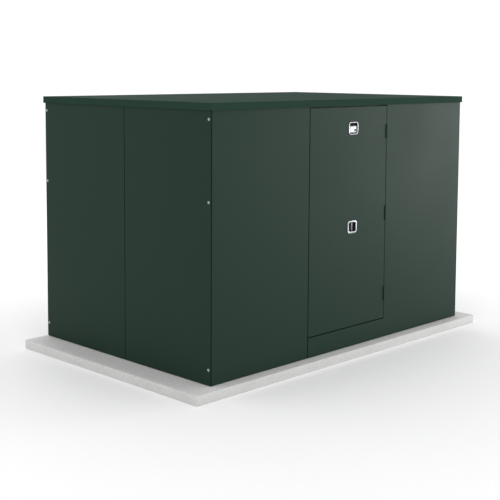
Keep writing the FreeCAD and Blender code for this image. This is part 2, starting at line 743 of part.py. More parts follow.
# ------------------------------------------------------------------ engine and alternator
def make_engine():
    """Engine castings, stacked on the shaft line."""
    y_low, y_high = symmetric_y("block_width / 2")
    block = span("block_left", "block_right", y_low, y_high, "block_foot", "block_top")
    crank_bore = rod("x", "block_left - 1", "body_middle", "shaft_height", "crank + fit_gap",
                     "block_length + 2")
    part("engine_block", cut(block, crank_bore))
    y_low, y_high = symmetric_y("pan_width / 2")
    sump = span("block_left + 20", "block_right - 20", y_low, y_high, "block_foot - pan_height", "block_foot")
    part("oil_pan", softened(sump, "24", lower_edges))
    y_low, y_high = symmetric_y("head_width / 2")
    part("cylinder_head", span("block_left", "block_right", y_low, y_high, "block_top", "head_top"))
    y_low, y_high = symmetric_y("cover_width / 2")
    cover = span("block_left + 10", "block_right - 60", y_low, y_high, "head_top", "head_top + cover_height")
    part("valve_cover", softened(cover, "22", upper_edges))
    bell = rod("x", "bell_left", "body_middle", "shaft_height", "bell_radius", "bell_length")
    cave = rod("x", "bell_left - 1", "body_middle", "shaft_height", "flywheel + 8", "bell_length - 7")
    neck = rod("x", "bell_left", "body_middle", "shaft_height", "crank + fit_gap", "bell_length + 1")
    part("flywheel_housing", cut(bell, cave, neck))
    part("starter_motor", joined(
        rod("x", "block_left", "body_middle - 197", "shaft_height - 78", "42", "150"),
        rod("x", "block_left", "body_middle - 197", "shaft_height - 20", "20", "100")))
    part("oil_filter", rod("y", "block_right - 130", "body_middle - block_width / 2 - 90",
                           "shaft_height - 20", "40", "90"))


def lower_edges(shape):
    """Names of the edges on a shape's lowest face."""
    return [index + 1 for index, edge in enumerate(shape.Edges)
            if all(abs(vertex.Z - shape.BoundBox.ZMin) < 0.01 for vertex in edge.Vertexes)]


def upper_edges(shape):
    """Names of the edges on a shape's highest face."""
    return [index + 1 for index, edge in enumerate(shape.Edges)
            if all(abs(vertex.Z - shape.BoundBox.ZMax) < 0.01 for vertex in edge.Vertexes)]


def softened(base, radius, choose):
    """Round the chosen edges of a shape."""
    doc.recompute()
    fillet = doc.addObject("Part::Fillet", "Softened")
    fillet.Base = base
    fillet.Edges = [(edge, float(radius), float(radius)) for edge in choose(base.Shape)]
    return fillet


def make_alternator():
    """Stator frame with end bells and feet around the rotor."""
    frame = rod("x", "stator_left", "body_middle", "shaft_height", "stator_radius", "stator_length")
    feet = [box(f"stator_left + {shift}", symmetric_y("150")[0], "tray_top + mount_height",
                "70", "300", "shaft_height - tray_top - mount_height - stator_radius / 2")
            for shift in ("40", "stator_length - 110")]
    cave = rod("x", "stator_left + 12", "body_middle", "shaft_height", "stator_bore", "stator_length")
    bearing = rod("x", "stator_left - 1", "body_middle", "shaft_height", "22 + fit_gap", "20")
    part("alternator_stator", cut(joined(frame, *feet), cave, bearing))
    revolve("alternator_rotor", "shaft_height", [
        ("stator_left - 20", "0"), ("stator_left - 20", "22"), ("stator_left + 50", "22"),
        ("stator_left + 50", "rotor_radius"), ("bell_left - 60", "rotor_radius"),
        ("bell_left - 60", "40"), ("bell_left + 4", "40"), ("bell_left + 4", "0")])


def make_rotating_set():
    """Crankshaft with flywheel and pulley, and the fan with its own pulley."""
    revolve("crankshaft", "shaft_height", [
        ("bell_left + 4", "0"), ("bell_left + 4", "flywheel"),
        ("bell_left + 4 + flywheel_thickness", "flywheel"),
        ("bell_left + 4 + flywheel_thickness", "crank"), ("pulley_left", "crank"),
        *pulley_groove(), ("pulley_right", "0")])
    pump = rod("x", "block_right", "body_middle", "fan_line", "42", "22")
    pump_bore = rod("x", "block_right + 2", "body_middle", "fan_line", "fan_shaft + fit_gap", "30")
    part("water_pump", cut(pump, pump_bore))
    hub = revolve("", "fan_line", [
        ("block_right + 3", "0"), ("block_right + 3", "fan_shaft"), ("pulley_left", "fan_shaft"),
        *pulley_groove(), ("pulley_right", "fan_shaft"), ("fan_left", "fan_shaft"),
        ("fan_left", "fan_hub"), ("fan_left + fan_depth", "fan_hub"), ("fan_left + fan_depth", "0")])
    part("cooling_fan", joined(hub, *fan_blades()))
    outer = belt_loop("pulley + touch_gap + belt")
    inner = belt_loop("pulley + touch_gap", "-1", "2")
    part("fan_belt", cut(outer, inner))


def fan_blades():
    """Six flat blades, pitched about their own length and rooted in the hub."""
    blades = []
    for turn in range(0, 360, 60):
        across = -math.sin(math.radians(turn))
        up = math.cos(math.radians(turn))
        blade = doc.addObject("Part::Box", "Blade")
        bind(blade, Length="fan_depth * 0.9", Width="fan_blade", Height="fan_radius - fan_hub + 12")
        pitch = Rotation(Vector(0, 0, 1), 40)
        around = Rotation(Vector(1, 0, 0), turn)
        seat(blade, "fan_left + 4", f"body_middle + {across:.6f} * (fan_hub - 12)",
             f"fan_line + {up:.6f} * (fan_hub - 12)", around.multiply(pitch))
        blades.append(blade)
    return blades


def pulley_groove():
    """Outline of a pulley's rim, from its engine side to its fan side."""
    return [("pulley_left", "pulley + 8"), ("pulley_left + 2", "pulley + 8"),
            ("pulley_left + 2", "pulley"), ("pulley_right - 2", "pulley"),
            ("pulley_right - 2", "pulley + 8"), ("pulley_right", "pulley + 8")]


def belt_loop(radius, shift="0", extra="0"):
    """Stadium-shaped block around both pulleys, of a given end radius."""
    start = f"pulley_left + 2.5 + {shift}"
    width = f"pulley_width - 5 + {extra}"
    low = rod("x", start, "body_middle", "shaft_height", radius, width)
    high = rod("x", start, "body_middle", "fan_line", radius, width)
    middle = box(start, f"body_middle - ({radius})", "shaft_height", width, f"2 * ({radius})", "fan_rise")
    return joined(low, high, middle)


def make_engine_mounts():
    """Rubber mounts between the floor and the feet of the engine and the alternator."""
    mounts = []
    for x in ("stator_left + 75", "block_right - 95"):
        for y in symmetric_y("110"):
            mounts.append(rod("z", x, y, "tray_top", "mount_radius", "mount_height"))
    part("engine_mounts", group(*mounts))
    y_low, y_high = symmetric_y("150")
    cradle = span("block_right - 130", "block_right - 60", y_low, y_high,
                  "tray_top + mount_height", "tray_top + mount_height + mount_plate")
    cheeks = [span("block_right - 130", "block_right - 60", low, f"{low} + mount_plate",
                   "tray_top + mount_height", "block_foot")
              for low in (symmetric_y("150")[0], f"{symmetric_y('150')[1]} - mount_plate")]
    part("engine_cradle", joined(cradle, *cheeks))


def make_breathing():
    """Exhaust manifold and muffler at the back, intake with its air cleaner at the front."""
    back = "body_middle + head_width / 2"
    front = "body_middle - head_width / 2"
    part("exhaust_manifold", span("block_left + 30", "block_right - 30", back, f"{back} + 60",
                                  "head_top - 75", "head_top - 20"))
    pipe_x = "block_right - 60"
    elbow = rod("y", pipe_x, f"{back} + 60", "head_top - 47", "exhaust",
                f"exhaust_line - ({back} + 60) + exhaust")
    riser = rod("z", pipe_x, "exhaust_line", "head_top - 47 - exhaust", "exhaust",
                "muffler_height - head_top + 47 + 2 * exhaust")
    run = rod("x", pipe_x, "exhaust_line", "muffler_height", "exhaust", f"muffler_line - ({pipe_x})")
    can = rod("y", "muffler_line", "body_middle - muffler_length / 2 + 60", "muffler_height",
              "muffler_radius", "muffler_length")
    straps = [box("bulkhead_left + sheet", y, "muffler_height - 10",
                  "muffler_line - bulkhead_left - sheet", "30", "20")
              for y in ("body_middle - 200", "body_middle + 120")]
    part("muffler", joined(elbow, riser, run, can, *straps))
    manifold = span("block_left + 60", "block_right - 40", f"{front} - 60", front,
                    "head_top - 70", "head_top - 20")
    neck = rod("z", "block_right - 120", f"{front} - 32", "head_top - 20", "28", "60")
    can = rod("x", "block_right - 235", f"{front} - 60", "head_top + 100", "74", "240")
    cap = rod("x", "block_right - 243", f"{front} - 60", "head_top + 100", "78", "30")
    part("air_intake", joined(manifold, neck, can, cap))


# ------------------------------------------------------------------ cooling, fuel and electrics
def swept_tube(points, radius, bend):
    """Solid hose along straight runs joined by tangent arcs of one bend radius."""
    spots = [Vector(*(number(value) for value in point)) for point in points]
    edges = []
    start = spots[0]
    for before, corner, after in zip(spots, spots[1:], spots[2:]):
        way_in = (corner - before).normalize()
        way_out = (after - corner).normalize()
        turn = way_in.getAngle(way_out)
        reach = bend * math.tan(turn / 2)
        arc_start = corner - way_in * reach
        arc_end = corner + way_out * reach
        inward = (way_out - way_in).normalize()
        centre = corner + inward * (bend / math.cos(turn / 2))
        middle = centre - inward * bend
        edges.append(Part.LineSegment(start, arc_start).toShape())
        edges.append(Part.Arc(arc_start, middle, arc_end).toShape())
        start = arc_end
    edges.append(Part.LineSegment(start, spots[-1]).toShape())
    path = Part.Wire(edges)
    ring = Part.Wire([Part.makeCircle(radius, spots[0], spots[1] - spots[0])])
    hose = doc.addObject("Part::Feature", "Hose")
    hose.Shape = path.makePipeShell([ring], True, True)
    expected = math.pi * radius ** 2 * path.Length
    if abs(hose.Shape.Volume / expected - 1) > 0.01:
        raise RuntimeError("the hose's volume doesn't match its path")
    return hose


def make_cooling():
    """Radiator on its legs, shroud, cap and the two hoses."""
    y_low, y_high = symmetric_y("radiator_width / 2")
    core = span("radiator_left", "bulkhead_left", y_low, y_high, "radiator_foot", "radiator_top")
    legs = [box("radiator_left", y, "tray_top", "radiator_thickness", "radiator_leg",
                "radiator_top - tray_top") for y in (f"{y_low} - radiator_leg", y_high)]
    neck_bore = rod("z", "radiator_left + radiator_thickness / 2", "body_middle", "radiator_top - 20",
                    "16 + fit_gap", "21")
    part("radiator", cut(joined(core, *legs), neck_bore))
    plug = rod("z", "radiator_left + radiator_thickness / 2", "body_middle", "radiator_top - 12", "16", "12")
    lid = rod("z", "radiator_left + radiator_thickness / 2", "body_middle", "radiator_top + touch_gap",
              "26", "14")
    wings = box("radiator_left + radiator_thickness / 2 - 6", "body_middle - 34",
                "radiator_top + 4", "12", "68", "8")
    joint = rod("z", "radiator_left + radiator_thickness / 2", "body_middle", "radiator_top - 2", "16", "4")
    part("radiator_cap", joined(plug, lid, wings, joint))
    front = "radiator_left - shroud_depth"
    y_low, y_high = symmetric_y("radiator_width / 2")
    hood = span(front, "radiator_left", y_low, y_high, "shroud_foot", "shroud_top")
    duct = span(f"{front} + 3", "radiator_left + 1", f"{y_low} + 3", f"{y_high} - 3",
                "shroud_foot + 3", "shroud_top - 3")
    mouth = rod("x", f"{front} - 1", "body_middle", "fan_line", "shroud_hole", "6")
    part("fan_shroud", cut(hood, duct, mouth))
    top_hose = [("block_right - 30", "body_middle - 50", "head_top"),
                ("block_right - 30", "body_middle - 50", "radiator_top - 35"),
                ("radiator_left", "body_middle - 50", "radiator_top - 35")]
    lower = rod("x", "block_right", "body_middle - 120", "radiator_foot + 30", "hose",
                "radiator_left - block_right")
    part("coolant_hoses", group(swept_tube(top_hose, number("hose"), number("hose_bend")), lower))


def make_battery():
    """Starter battery strapped in its tray."""
    left = "door_left + 30"
    front = "core_front + 30"
    tray = cut(box(left, front, "tray_top", "battery_length + 12", "battery_width + 12", "battery_tray"),
               box(f"{left} + 3", f"{front} + 3", "tray_top + 3", "battery_length + 6",
                   "battery_width + 6", "battery_tray"))
    part("battery_tray", tray)
    case = box(f"{left} + 6", f"{front} + 6", "tray_top + 3", "battery_length", "battery_width",
               "battery_height")
    posts = [rod("z", f"{left} + {shift}", f"{front} + 40", "tray_top + 3 + battery_height", "8", "16")
             for shift in ("45", "battery_length - 30")]
    part("battery", joined(case, *posts))


def make_fuel():
    """Gas inlet at the back wall, shut-off cock and regulator."""
    wall_y = "body_back - sheet"
    x = "fuel_at + 100"
    outside = "fuel_bore + fuel_wall"
    pipe = rod("y", x, "body_back - 160", "fuel_rise", outside, "160")
    bore = rod("y", x, "body_back - 40", "fuel_rise", "fuel_bore", "41")
    valve = span(f"{x} - 20", f"{x} + 20", f"{wall_y} - 110", f"{wall_y} - 66",
                 "fuel_rise - 20", "fuel_rise + 20")
    stem_bore = rod("z", x, f"{wall_y} - 88", "fuel_rise + 6", "5 + fit_gap", "15")
    part("fuel_pipe", cut(joined(pipe, valve), bore, stem_bore))
    stem = rod("z", x, f"{wall_y} - 88", "fuel_rise + 8", "5", "20")
    lever = span(f"{x} - 8", f"{x} + 8", f"{wall_y} - 96", f"{wall_y} - 20", "fuel_rise + 22",
                 "fuel_rise + 28")
    part("fuel_cock", joined(stem, lever))
    drum = rod("y", x, "body_back - 235", "fuel_rise + 30", "65", "40")
    body = span(f"{x} - 32", f"{x} + 32", "body_back - 220", "body_back - 160", "fuel_rise - 30",
                "fuel_rise + 40")
    foot = span(f"{x} - 45", f"{x} + 45", "body_back - 220", "body_back - 170", "tray_top",
                "fuel_rise - 30")
    part("gas_regulator", joined(drum, body, foot))


def make_controls():
    """Control box hung under the top ring, with its stop button, mode switch and breaker."""
    front = "control_front"
    case = box("control_left", front, "control_foot", "control_length", "control_depth", "control_height")
    button_x = "control_left + 40"
    knob_x = "control_left + 105"
    level = "control_foot + 60"
    bores = [rod("y", button_x, f"{front} - 1", level, "8 + fit_gap", "21"),
             rod("y", knob_x, f"{front} - 1", level, "6 + fit_gap", "16")]
    window = box("control_left + control_length - 60", f"{front} - 1", "control_foot + 35", "40", "26", "70")
    part("control_box", cut(case, *bores, window))
    part("stop_button", joined(rod("y", button_x, f"{front} - 20", level, "20", "10"),
                               rod("y", button_x, f"{front} - 10", level, "8", "22")))
    part("mode_switch", joined(rod("y", knob_x, f"{front} - 8", level, "17", "7.7"),
                               rod("y", knob_x, f"{front} - 2", level, "6", "14"),
                               box(f"{knob_x} - 4", f"{front} - 18", f"{level} - 16", "8", "11", "32")))
    breaker_x = "control_left + control_length - 60"
    block = box(breaker_x, f"{front} - 4", "control_foot + 35", "40", "29", "70")
    slot = box(f"{breaker_x} + 12", f"{front} - 5", "control_foot + 52", "16", "19", "36")
    pivot_bore = rod("x", f"{breaker_x} + 8", f"{front} + 8", "control_foot + 70", "2 + fit_gap", "24")
    part("main_breaker", cut(block, slot, pivot_bore))
    part("breaker_toggle", joined(
        rod("x", f"{breaker_x} + 13", f"{front} + 8", "control_foot + 70", "5", "14"),
        rod("x", f"{breaker_x} + 9", f"{front} + 8", "control_foot + 70", "2", "22"),
        box(f"{breaker_x} + 14", f"{front} - 16", "control_foot + 67", "12", "24", "6")))


# ------------------------------------------------------------------ checks and export
def check_document():
    """Stop if any object failed or any sub-part isn't a sound shape."""
    for thing in doc.Objects:
        if "Invalid" in thing.State or "Error" in thing.State:
            raise RuntimeError(f"{thing.Name} ({thing.Label}) failed: {thing.State}")
    for label, thing in parts.items():
        if thing.Shape.isNull() or not thing.Shape.isValid() or not thing.Shape.Solids:
            raise RuntimeError(f"{label} has no valid solid")


def write_parts():
    """Write one STEP file for each sub-part."""
    os.makedirs("parts", exist_ok=True)
    for label, thing in parts.items():
        thing.Shape.exportStep(os.path.join("parts", f"{label}.step"))
        print(label, len(thing.Shape.Solids), "solid(s)", round(thing.Shape.Volume / 1000), "cm3")
    print(len(parts), "sub-parts")


MAKERS = (
    make_pad, make_anchor_bolts, make_base_frame, make_floor, make_post_frame, make_bulkhead,
    make_end_panels, make_outlet_panel, make_front_panels, make_rear_panels, make_roof, make_linings,
    make_panel_screws, make_door, make_door_liner, make_door_seal, make_hinges, make_latches,
    make_engine, make_alternator, make_rotating_set, make_engine_mounts, make_breathing, make_cooling,
    make_battery, make_fuel, make_controls,
)
for maker in MAKERS:
    maker()
doc.recompute()
check_document()
write_parts()
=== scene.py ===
"""Looks of a home standby generator: a sheet-metal cabinet on a moulded pad, with the engine,
alternator and controls that its service door opens on.

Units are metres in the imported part's frame: +Z up, and the service door faces -Y.
"""

import logging
import math
from dataclasses import dataclass
from enum import Enum

import bmesh
import bpy
import numpy as np
from mathutils import Matrix, Vector


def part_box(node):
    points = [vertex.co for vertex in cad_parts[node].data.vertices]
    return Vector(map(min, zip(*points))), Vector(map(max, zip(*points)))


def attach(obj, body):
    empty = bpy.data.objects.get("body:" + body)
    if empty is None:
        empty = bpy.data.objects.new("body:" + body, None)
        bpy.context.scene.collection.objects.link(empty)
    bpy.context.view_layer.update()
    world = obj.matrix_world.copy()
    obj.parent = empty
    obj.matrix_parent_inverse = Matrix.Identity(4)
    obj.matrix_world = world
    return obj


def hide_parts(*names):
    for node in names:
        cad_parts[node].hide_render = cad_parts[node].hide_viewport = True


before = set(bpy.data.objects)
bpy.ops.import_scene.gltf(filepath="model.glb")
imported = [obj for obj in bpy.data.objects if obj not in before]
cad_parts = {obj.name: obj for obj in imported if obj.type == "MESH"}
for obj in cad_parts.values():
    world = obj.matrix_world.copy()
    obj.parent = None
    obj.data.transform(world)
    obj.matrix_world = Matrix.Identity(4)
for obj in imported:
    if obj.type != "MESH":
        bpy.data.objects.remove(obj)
LOG = logging.getLogger("standby_generator")
MM = 0.001
SHARP_ANGLE = math.radians(38)    # a new piece shades sharp over edges steeper than this
EASED_ANGLE = math.radians(40)    # a CAD node's edges steeper than this are eased
WELD_MM = 0.01                    # a CAD node's corners nearer than this are joined before easing
LATCH_PLATE = (67.0, 58.0)        # width and height of a latch over its gasket, in millimetres
Spot = tuple[float, float, float]
Piece = bpy.types.Object
Socket = bpy.types.NodeSocket


# ------------------------------------------------------------------ colour and nodes
def linear(colour: str) -> tuple[float, float, float, float]:
    """Turn an sRGB hex colour into linear light by the sRGB curve.

    Args:
        colour: six hex digits after a hash.

    Returns:
        Red, green, blue and an alpha of one.
    """
    raw = np.array([int(colour[at:at + 2], 16) for at in (1, 3, 5)]) / 255.0
    curve = np.where(raw <= 0.04045, raw / 12.92, ((raw + 0.055) / 1.055) ** 2.4)
    return (*curve.tolist(), 1.0)


def add_node(tree: bpy.types.NodeTree, kind: str, inputs: dict | None = None,
             **settings: object) -> bpy.types.Node:
    """Add a shader node with its settings, constants and links.

    Args:
        tree: the material's node tree.
        kind: Blender's name of the node type.
        inputs: socket name or number to a constant, or to the output that feeds it.
        settings: properties of the node itself.

    Returns:
        The new node.
    """
    node = tree.nodes.new(kind)
    for name, value in settings.items():
        setattr(node, name, value)
    for socket, value in (inputs or {}).items():
        if isinstance(value, Socket):
            tree.links.new(value, node.inputs[socket])
        else:
            node.inputs[socket].default_value = value
    return node


# ------------------------------------------------------------------ finishes
class Grain(Enum):
    """How the small pattern of a finish comes about."""

    PEEL = "orange peel of baked powder"
    CAST = "skin of a sand or die casting"
    SPARK = "spark-eroded mould texture"
    BRUSH = "fine parallel scratches"
    CELLS = "open foam cells"
    SPANGLE = "crystals of a zinc coat"
    SPECKLE = "sand and fibre in a cast mix"


# Detail and roughness of the noise behind each grain, and half the span of noise that is stretched
# to run from nought to one: narrow for hard-edged specks.
NOISE = {Grain.PEEL: (1.0, 0.4), Grain.CAST: (5.0, 0.62), Grain.SPARK: (3.0, 0.75),
         Grain.BRUSH: (3.0, 0.6), Grain.SPECKLE: (2.0, 0.7)}
GRAIN_SPREAD, SPECKLE_SPREAD = 0.22, 0.1
DRIFT_DETAIL, DRIFT_ROUGHNESS, DRIFT_SPREAD = 4.0, 0.55, 0.2
# Sockets of the colour mix: factor, its two colours, and the mixed colour.
SHARE, FIRST, SECOND, MIXED = 0, 6, 7, 2


@dataclass(frozen=True)
class Finish:
    """A real surface: what it is made of, how it was made, and how that looks.

    The small pattern repeats about every grain_mm and stands bump_mm high.  It and a slow drift
    over drift_mm mix the second colour into the first, by tint and drift.
    """

    name: str
    base: str
    second: str
    grain: Grain
    grain_mm: float
    bump_mm: float
    roughness: float
    swing: float = 0.05
    metallic: float = 0.0
    ior: float = 1.5
    tint: float = 0.3
    drift: float = 0.3
    drift_mm: float = 260.0
    coat: float = 0.0
    stretch: Spot = (1.0, 1.0, 1.0)

    def pattern(self, tree: bpy.types.NodeTree, place: Socket) -> Socket:
        """Make the small pattern, from 0 to 1.

        Args:
            tree: the material's node tree.
            place: coordinates in units of the grain.

        Returns:
            The pattern's output socket.
        """
        if self.grain in (Grain.CELLS, Grain.SPANGLE):
            cells = add_node(tree, "ShaderNodeTexVoronoi", {"Vector": place, "Scale": 1.0})
            if self.grain is Grain.CELLS:
                return cells.outputs["Distance"]
            return add_node(tree, "ShaderNodeRGBToBW", {0: cells.outputs["Color"]}).outputs[0]
        detail, rough = NOISE[self.grain]
        noise = add_node(tree, "ShaderNodeTexNoise",
                         {"Vector": place, "Scale": 1.0, "Detail": detail, "Roughness": rough})
        spread = SPECKLE_SPREAD if self.grain is Grain.SPECKLE else GRAIN_SPREAD
        return add_node(tree, "ShaderNodeMapRange", {
            "Value": noise.outputs[0], "From Min": 0.5 - spread, "From Max": 0.5 + spread,
        }).outputs[0]

    def material(self) -> bpy.types.Material:
        """Return the finish's material, made once."""
        if self.name in bpy.data.materials:
            return bpy.data.materials[self.name]
        made = bpy.data.materials.new(self.name)
        made.use_nodes = True
        tree = made.node_tree
        tree.nodes.clear()
        place = add_node(tree, "ShaderNodeTexCoord").outputs["Object"]
        size = self.grain_mm * MM
        small = add_node(tree, "ShaderNodeMapping", {
            "Vector": place, "Scale": tuple(1.0 / (size * pull) for pull in self.stretch)})
        grain = self.pattern(tree, small.outputs[0])
        slow = add_node(tree, "ShaderNodeTexNoise", {
            "Vector": place, "Scale": 1.0 / (self.drift_mm * MM), "Detail": DRIFT_DETAIL,
            "Roughness": DRIFT_ROUGHNESS})
        share = add_node(tree, "ShaderNodeMath", {0: grain, 1: self.tint}, operation="MULTIPLY")
        both = add_node(tree, "ShaderNodeMath", {
            0: slow.outputs[0], 1: self.drift, 2: share.outputs[0]},
            operation="MULTIPLY_ADD", use_clamp=True)
        colour = add_node(tree, "ShaderNodeMix", {
            SHARE: both.outputs[0], FIRST: linear(self.base), SECOND: linear(self.second)},
            data_type="RGBA")
        rough = add_node(tree, "ShaderNodeMapRange", {
            "Value": slow.outputs[0],
            "From Min": 0.5 - DRIFT_SPREAD, "From Max": 0.5 + DRIFT_SPREAD,
            "To Min": self.roughness - self.swing, "To Max": self.roughness + self.swing})
        bump = add_node(tree, "ShaderNodeBump", {
            "Strength": 1.0, "Distance": self.bump_mm * MM, "Height": grain})
        shader = add_node(tree, "ShaderNodeBsdfPrincipled", {
            "Base Color": colour.outputs[MIXED], "Roughness": rough.outputs[0],
            "Normal": bump.outputs[0], "Metallic": self.metallic, "Coat Weight": self.coat})
        if not self.metallic:
            shader.inputs["IOR"].default_value = self.ior
        add_node(tree, "ShaderNodeOutputMaterial", {"Surface": shader.outputs[0]})
        return made


# Polyester powder coat on galvanised steel, sprayed dry and baked: an even semi-gloss green with
# a faint orange peel.  The real peel is 1 to 2 mm, drawn at 5 mm so that it shows at all.
POWDER_GREEN = Finish("powder_coated_steel_green", "#1c3027", "#20342b", Grain.PEEL, 5.0, 0.012,
                      0.5, 0.03, ior=1.18, tint=0.25, drift=0.5, drift_mm=420)
# The same coat on the roof, chalked by sun and rain: the gloss has gone and only the green is left.
CHALKED_GREEN = Finish("chalked_powder_coated_steel_green", "#22382f", "#293e35", Grain.PEEL, 5.0,
                       0.012, 0.8, 0.03, ior=1.1, tint=0.25, drift=0.5, drift_mm=420)
# Glass-fibre concrete cast in a smooth mould: pale and matte, with fine sand specks.
CAST_CONCRETE = Finish("cast_fibre_concrete", "#d6d6d5", "#a6a6a5", Grain.SPECKLE, 5.0, 0.06,
                       0.85, 0.05, tint=0.3, drift=0.35, drift_mm=120)
# Mild steel dipped in cathodic black primer: flat, slightly uneven satin.
BLACK_PRIMER = Finish("dipped_primer_black", "#1b1d1d", "#2a2d2d", Grain.PEEL, 4.0, 0.03, 0.5)
# Zinc-plated steel with a clear blue passivation: pale grey with faint crystals.
ZINC_PLATE = Finish("passivated_zinc_plate", "#b4b8bd", "#8d9298", Grain.SPANGLE, 9.0, 0.01,
                    0.38, 0.08, 1.0, tint=0.5)
# Hot-dip galvanised sheet: large grey crystals that catch the light one by one.
GALVANISED = Finish("hot_dip_galvanised_sheet", "#a3a8ab", "#7d8387", Grain.SPANGLE, 14.0, 0.02,
                    0.46, 0.08, 1.0, tint=0.7)
# Stainless steel castings, polished and dulled by weather: the last polishing lines run along X.
POLISHED_STEEL = Finish("polished_stainless_steel", "#b0b2b4", "#909397", Grain.BRUSH, 0.8, 0.008,
                        0.34, 0.06, 1.0, tint=0.4, stretch=(14.0, 1.0, 1.0))
# The same steel left as brushed on the turn handle and the keyway, darker as painted shade.
SHADED_STEEL = Finish("brushed_stainless_steel_painted_shade", "#777a7e", "#494c50", Grain.BRUSH, 1.0, 0.01,
                    0.42, 0.08, 1.0, tint=0.5, stretch=(12.0, 1.0, 1.0))
# Extruded EPDM rubber: near black, matte, with a grey bloom.
EPDM_RUBBER = Finish("extruded_epdm_rubber", "#161616", "#2b2b2a", Grain.SPARK, 3.0, 0.04, 0.72)
# Polyurethane acoustic foam: charcoal, open cells that swallow light.
ACOUSTIC_FOAM = Finish("open_cell_polyurethane_foam", "#3a3b3d", "#151516", Grain.CELLS, 3.2, 1.0,
                       0.95, 0.02, tint=0.9, drift=0.2)
# Grey iron cast in sand and sprayed with engine enamel: pebbled under a soft gloss.
ENGINE_ENAMEL = Finish("sand_cast_iron_enamelled_grey", "#7a8286", "#616a6e", Grain.CAST, 7.0, 0.35,
                       0.42, 0.08, tint=0.5)
# Bare grey iron after heat: brown-grey, dry and rough.
BARE_IRON = Finish("sand_cast_iron_heat_browned", "#5a4a40", "#38302c", Grain.CAST, 6.0, 0.4, 0.78)
# Die-cast aluminium, shot-blasted: pale, dull metal with a fine grain.
CAST_ALUMINIUM = Finish("die_cast_aluminium", "#b9bcbf", "#8f9396", Grain.CAST, 3.5, 0.12,
                        0.48, 0.08, 1.0, tint=0.45)
# Glass-filled nylon from a spark-eroded mould: black with an even fine texture.
MOULDED_NYLON = Finish("moulded_nylon_black", "#191a1b", "#2a2b2d", Grain.SPARK, 2.0, 0.05, 0.55)
# Polypropylene case from a smooth mould: black with a waxy sheen.
POLYPROPYLENE = Finish("moulded_polypropylene_black", "#151618", "#202124", Grain.SPARK, 2.5,
                       0.03, 0.4)
# Light grey powder coat on the control box: smooth semi-gloss.
POWDER_GREY = Finish("powder_coated_steel_grey", "#9a9fa1", "#8b9093", Grain.PEEL, 4.0, 0.02, 0.36)
# Aluminised steel of the silencer, straw-coloured by heat.
ALUMINISED = Finish("aluminised_steel_heat_tinted", "#a59a8b", "#776b5e", Grain.SPANGLE, 16.0, 0.03,
                    0.44, 0.1, 1.0, tint=0.4, drift=0.6, drift_mm=160)
# Turned brass: warm yellow with fine tool lines.
TURNED_BRASS = Finish("turned_brass", "#c9a35a", "#a98342", Grain.BRUSH, 1.0, 0.02, 0.28, 0.06, 1.0)
# Epoxy-coated gas pipe: gloss yellow.
EPOXY_YELLOW = Finish("epoxy_coated_pipe_yellow", "#c79a1d", "#b4871a", Grain.PEEL, 5.0, 0.03, 0.3)
# Signal-red enamel of the filter can and the stop button.
ENAMEL_RED = Finish("baked_enamel_red", "#9e1b16", "#8b1512", Grain.PEEL, 4.0, 0.02, 0.3)
# Varnished copper winding wire: dark amber, glossy, with the turns as lines round the shaft.
WINDING_COPPER = Finish("varnished_copper_winding", "#8a4a22", "#5e2f16", Grain.BRUSH, 2.0, 0.3,
                        0.3, 0.06, 1.0, tint=0.6, stretch=(1.0, 12.0, 12.0))
# Smoked acrylic sheet, cut and polished: the display's window.
ACRYLIC_SMOKE = Finish("smoked_acrylic_sheet", "#0d1210", "#16201c", Grain.PEEL, 8.0, 0.002, 0.08)
# Green acrylic lamp caps from a fine mould.
LAMP_GREEN = Finish("moulded_acrylic_green", "#2f9b4e", "#27803f", Grain.SPARK, 2.0, 0.01, 0.2)
# White nylon of keys, caps and cable ties.
NYLON_WHITE = Finish("moulded_nylon_white", "#d5d6d2", "#c3c4c0", Grain.SPARK, 2.0, 0.03, 0.45)
# Painted floor of a studio: even, pale and matte.
STUDIO_PAINT = Finish("matt_studio_floor_paint", "#fafafa", "#f6f6f6", Grain.PEEL, 30.0, 0.01, 0.9,
                      0.02, tint=0.1, drift=0.1, drift_mm=2500)


# ------------------------------------------------------------------ surfaces as whole arrays
# Sizes and places of shapes are in millimetres; Skin.build turns them into metres.
# Rings are points in an array of rings by points by three.
class Facing(Enum):
    """Where a shape's own x, y and z point: z is out of the face it stands on."""

    FRONT = ((1, 0, 0), (0, 0, 1), (0, -1, 0))
    BACK = ((-1, 0, 0), (0, 0, 1), (0, 1, 0))
    LEFT = ((0, -1, 0), (0, 0, 1), (-1, 0, 0))
    RIGHT = ((0, 1, 0), (0, 0, 1), (1, 0, 0))
    TOP = ((1, 0, 0), (0, 1, 0), (0, 0, 1))

    def place(self, rings: np.ndarray, origin: Spot) -> np.ndarray:
        """Turn points to this facing and move them: point = origin + x, y, z along its axes."""
        return np.asarray(origin, float) + rings @ np.array(self.value, float)


def pressing(width: float, height: float, stations: list[Spot], steps: int = 6) -> np.ndarray:
    """Rings of a pressed or moulded rectangular shape.

    Ring k is a rectangle with round corners: each point is a corner's centre plus radius k at the
    point's own angle.  It is drawn in by inset k and lies at depth k.

    Args:
        width: size along x before any inset.
        height: size along y before any inset.
        stations: inset, depth along z and corner radius of each ring.
        steps: straight pieces in each quarter circle.

    Returns:
        The rings.
    """
    inset, depth, radius = np.asarray(stations, float).T[..., None]
    quadrant = np.repeat(np.arange(4), steps + 1)
    angle = (np.tile(np.linspace(0, np.pi / 2, steps + 1), 4) + quadrant * np.pi / 2)[None]
    side = np.array([1, -1, -1, 1])[quadrant]
    rise = np.array([1, 1, -1, -1])[quadrant]
    x = side * (width / 2 - inset - radius) + radius * np.cos(angle)
    y = rise * (height / 2 - inset - radius) + radius * np.sin(angle)
    return np.stack([x, y, np.broadcast_to(depth, x.shape)], -1)


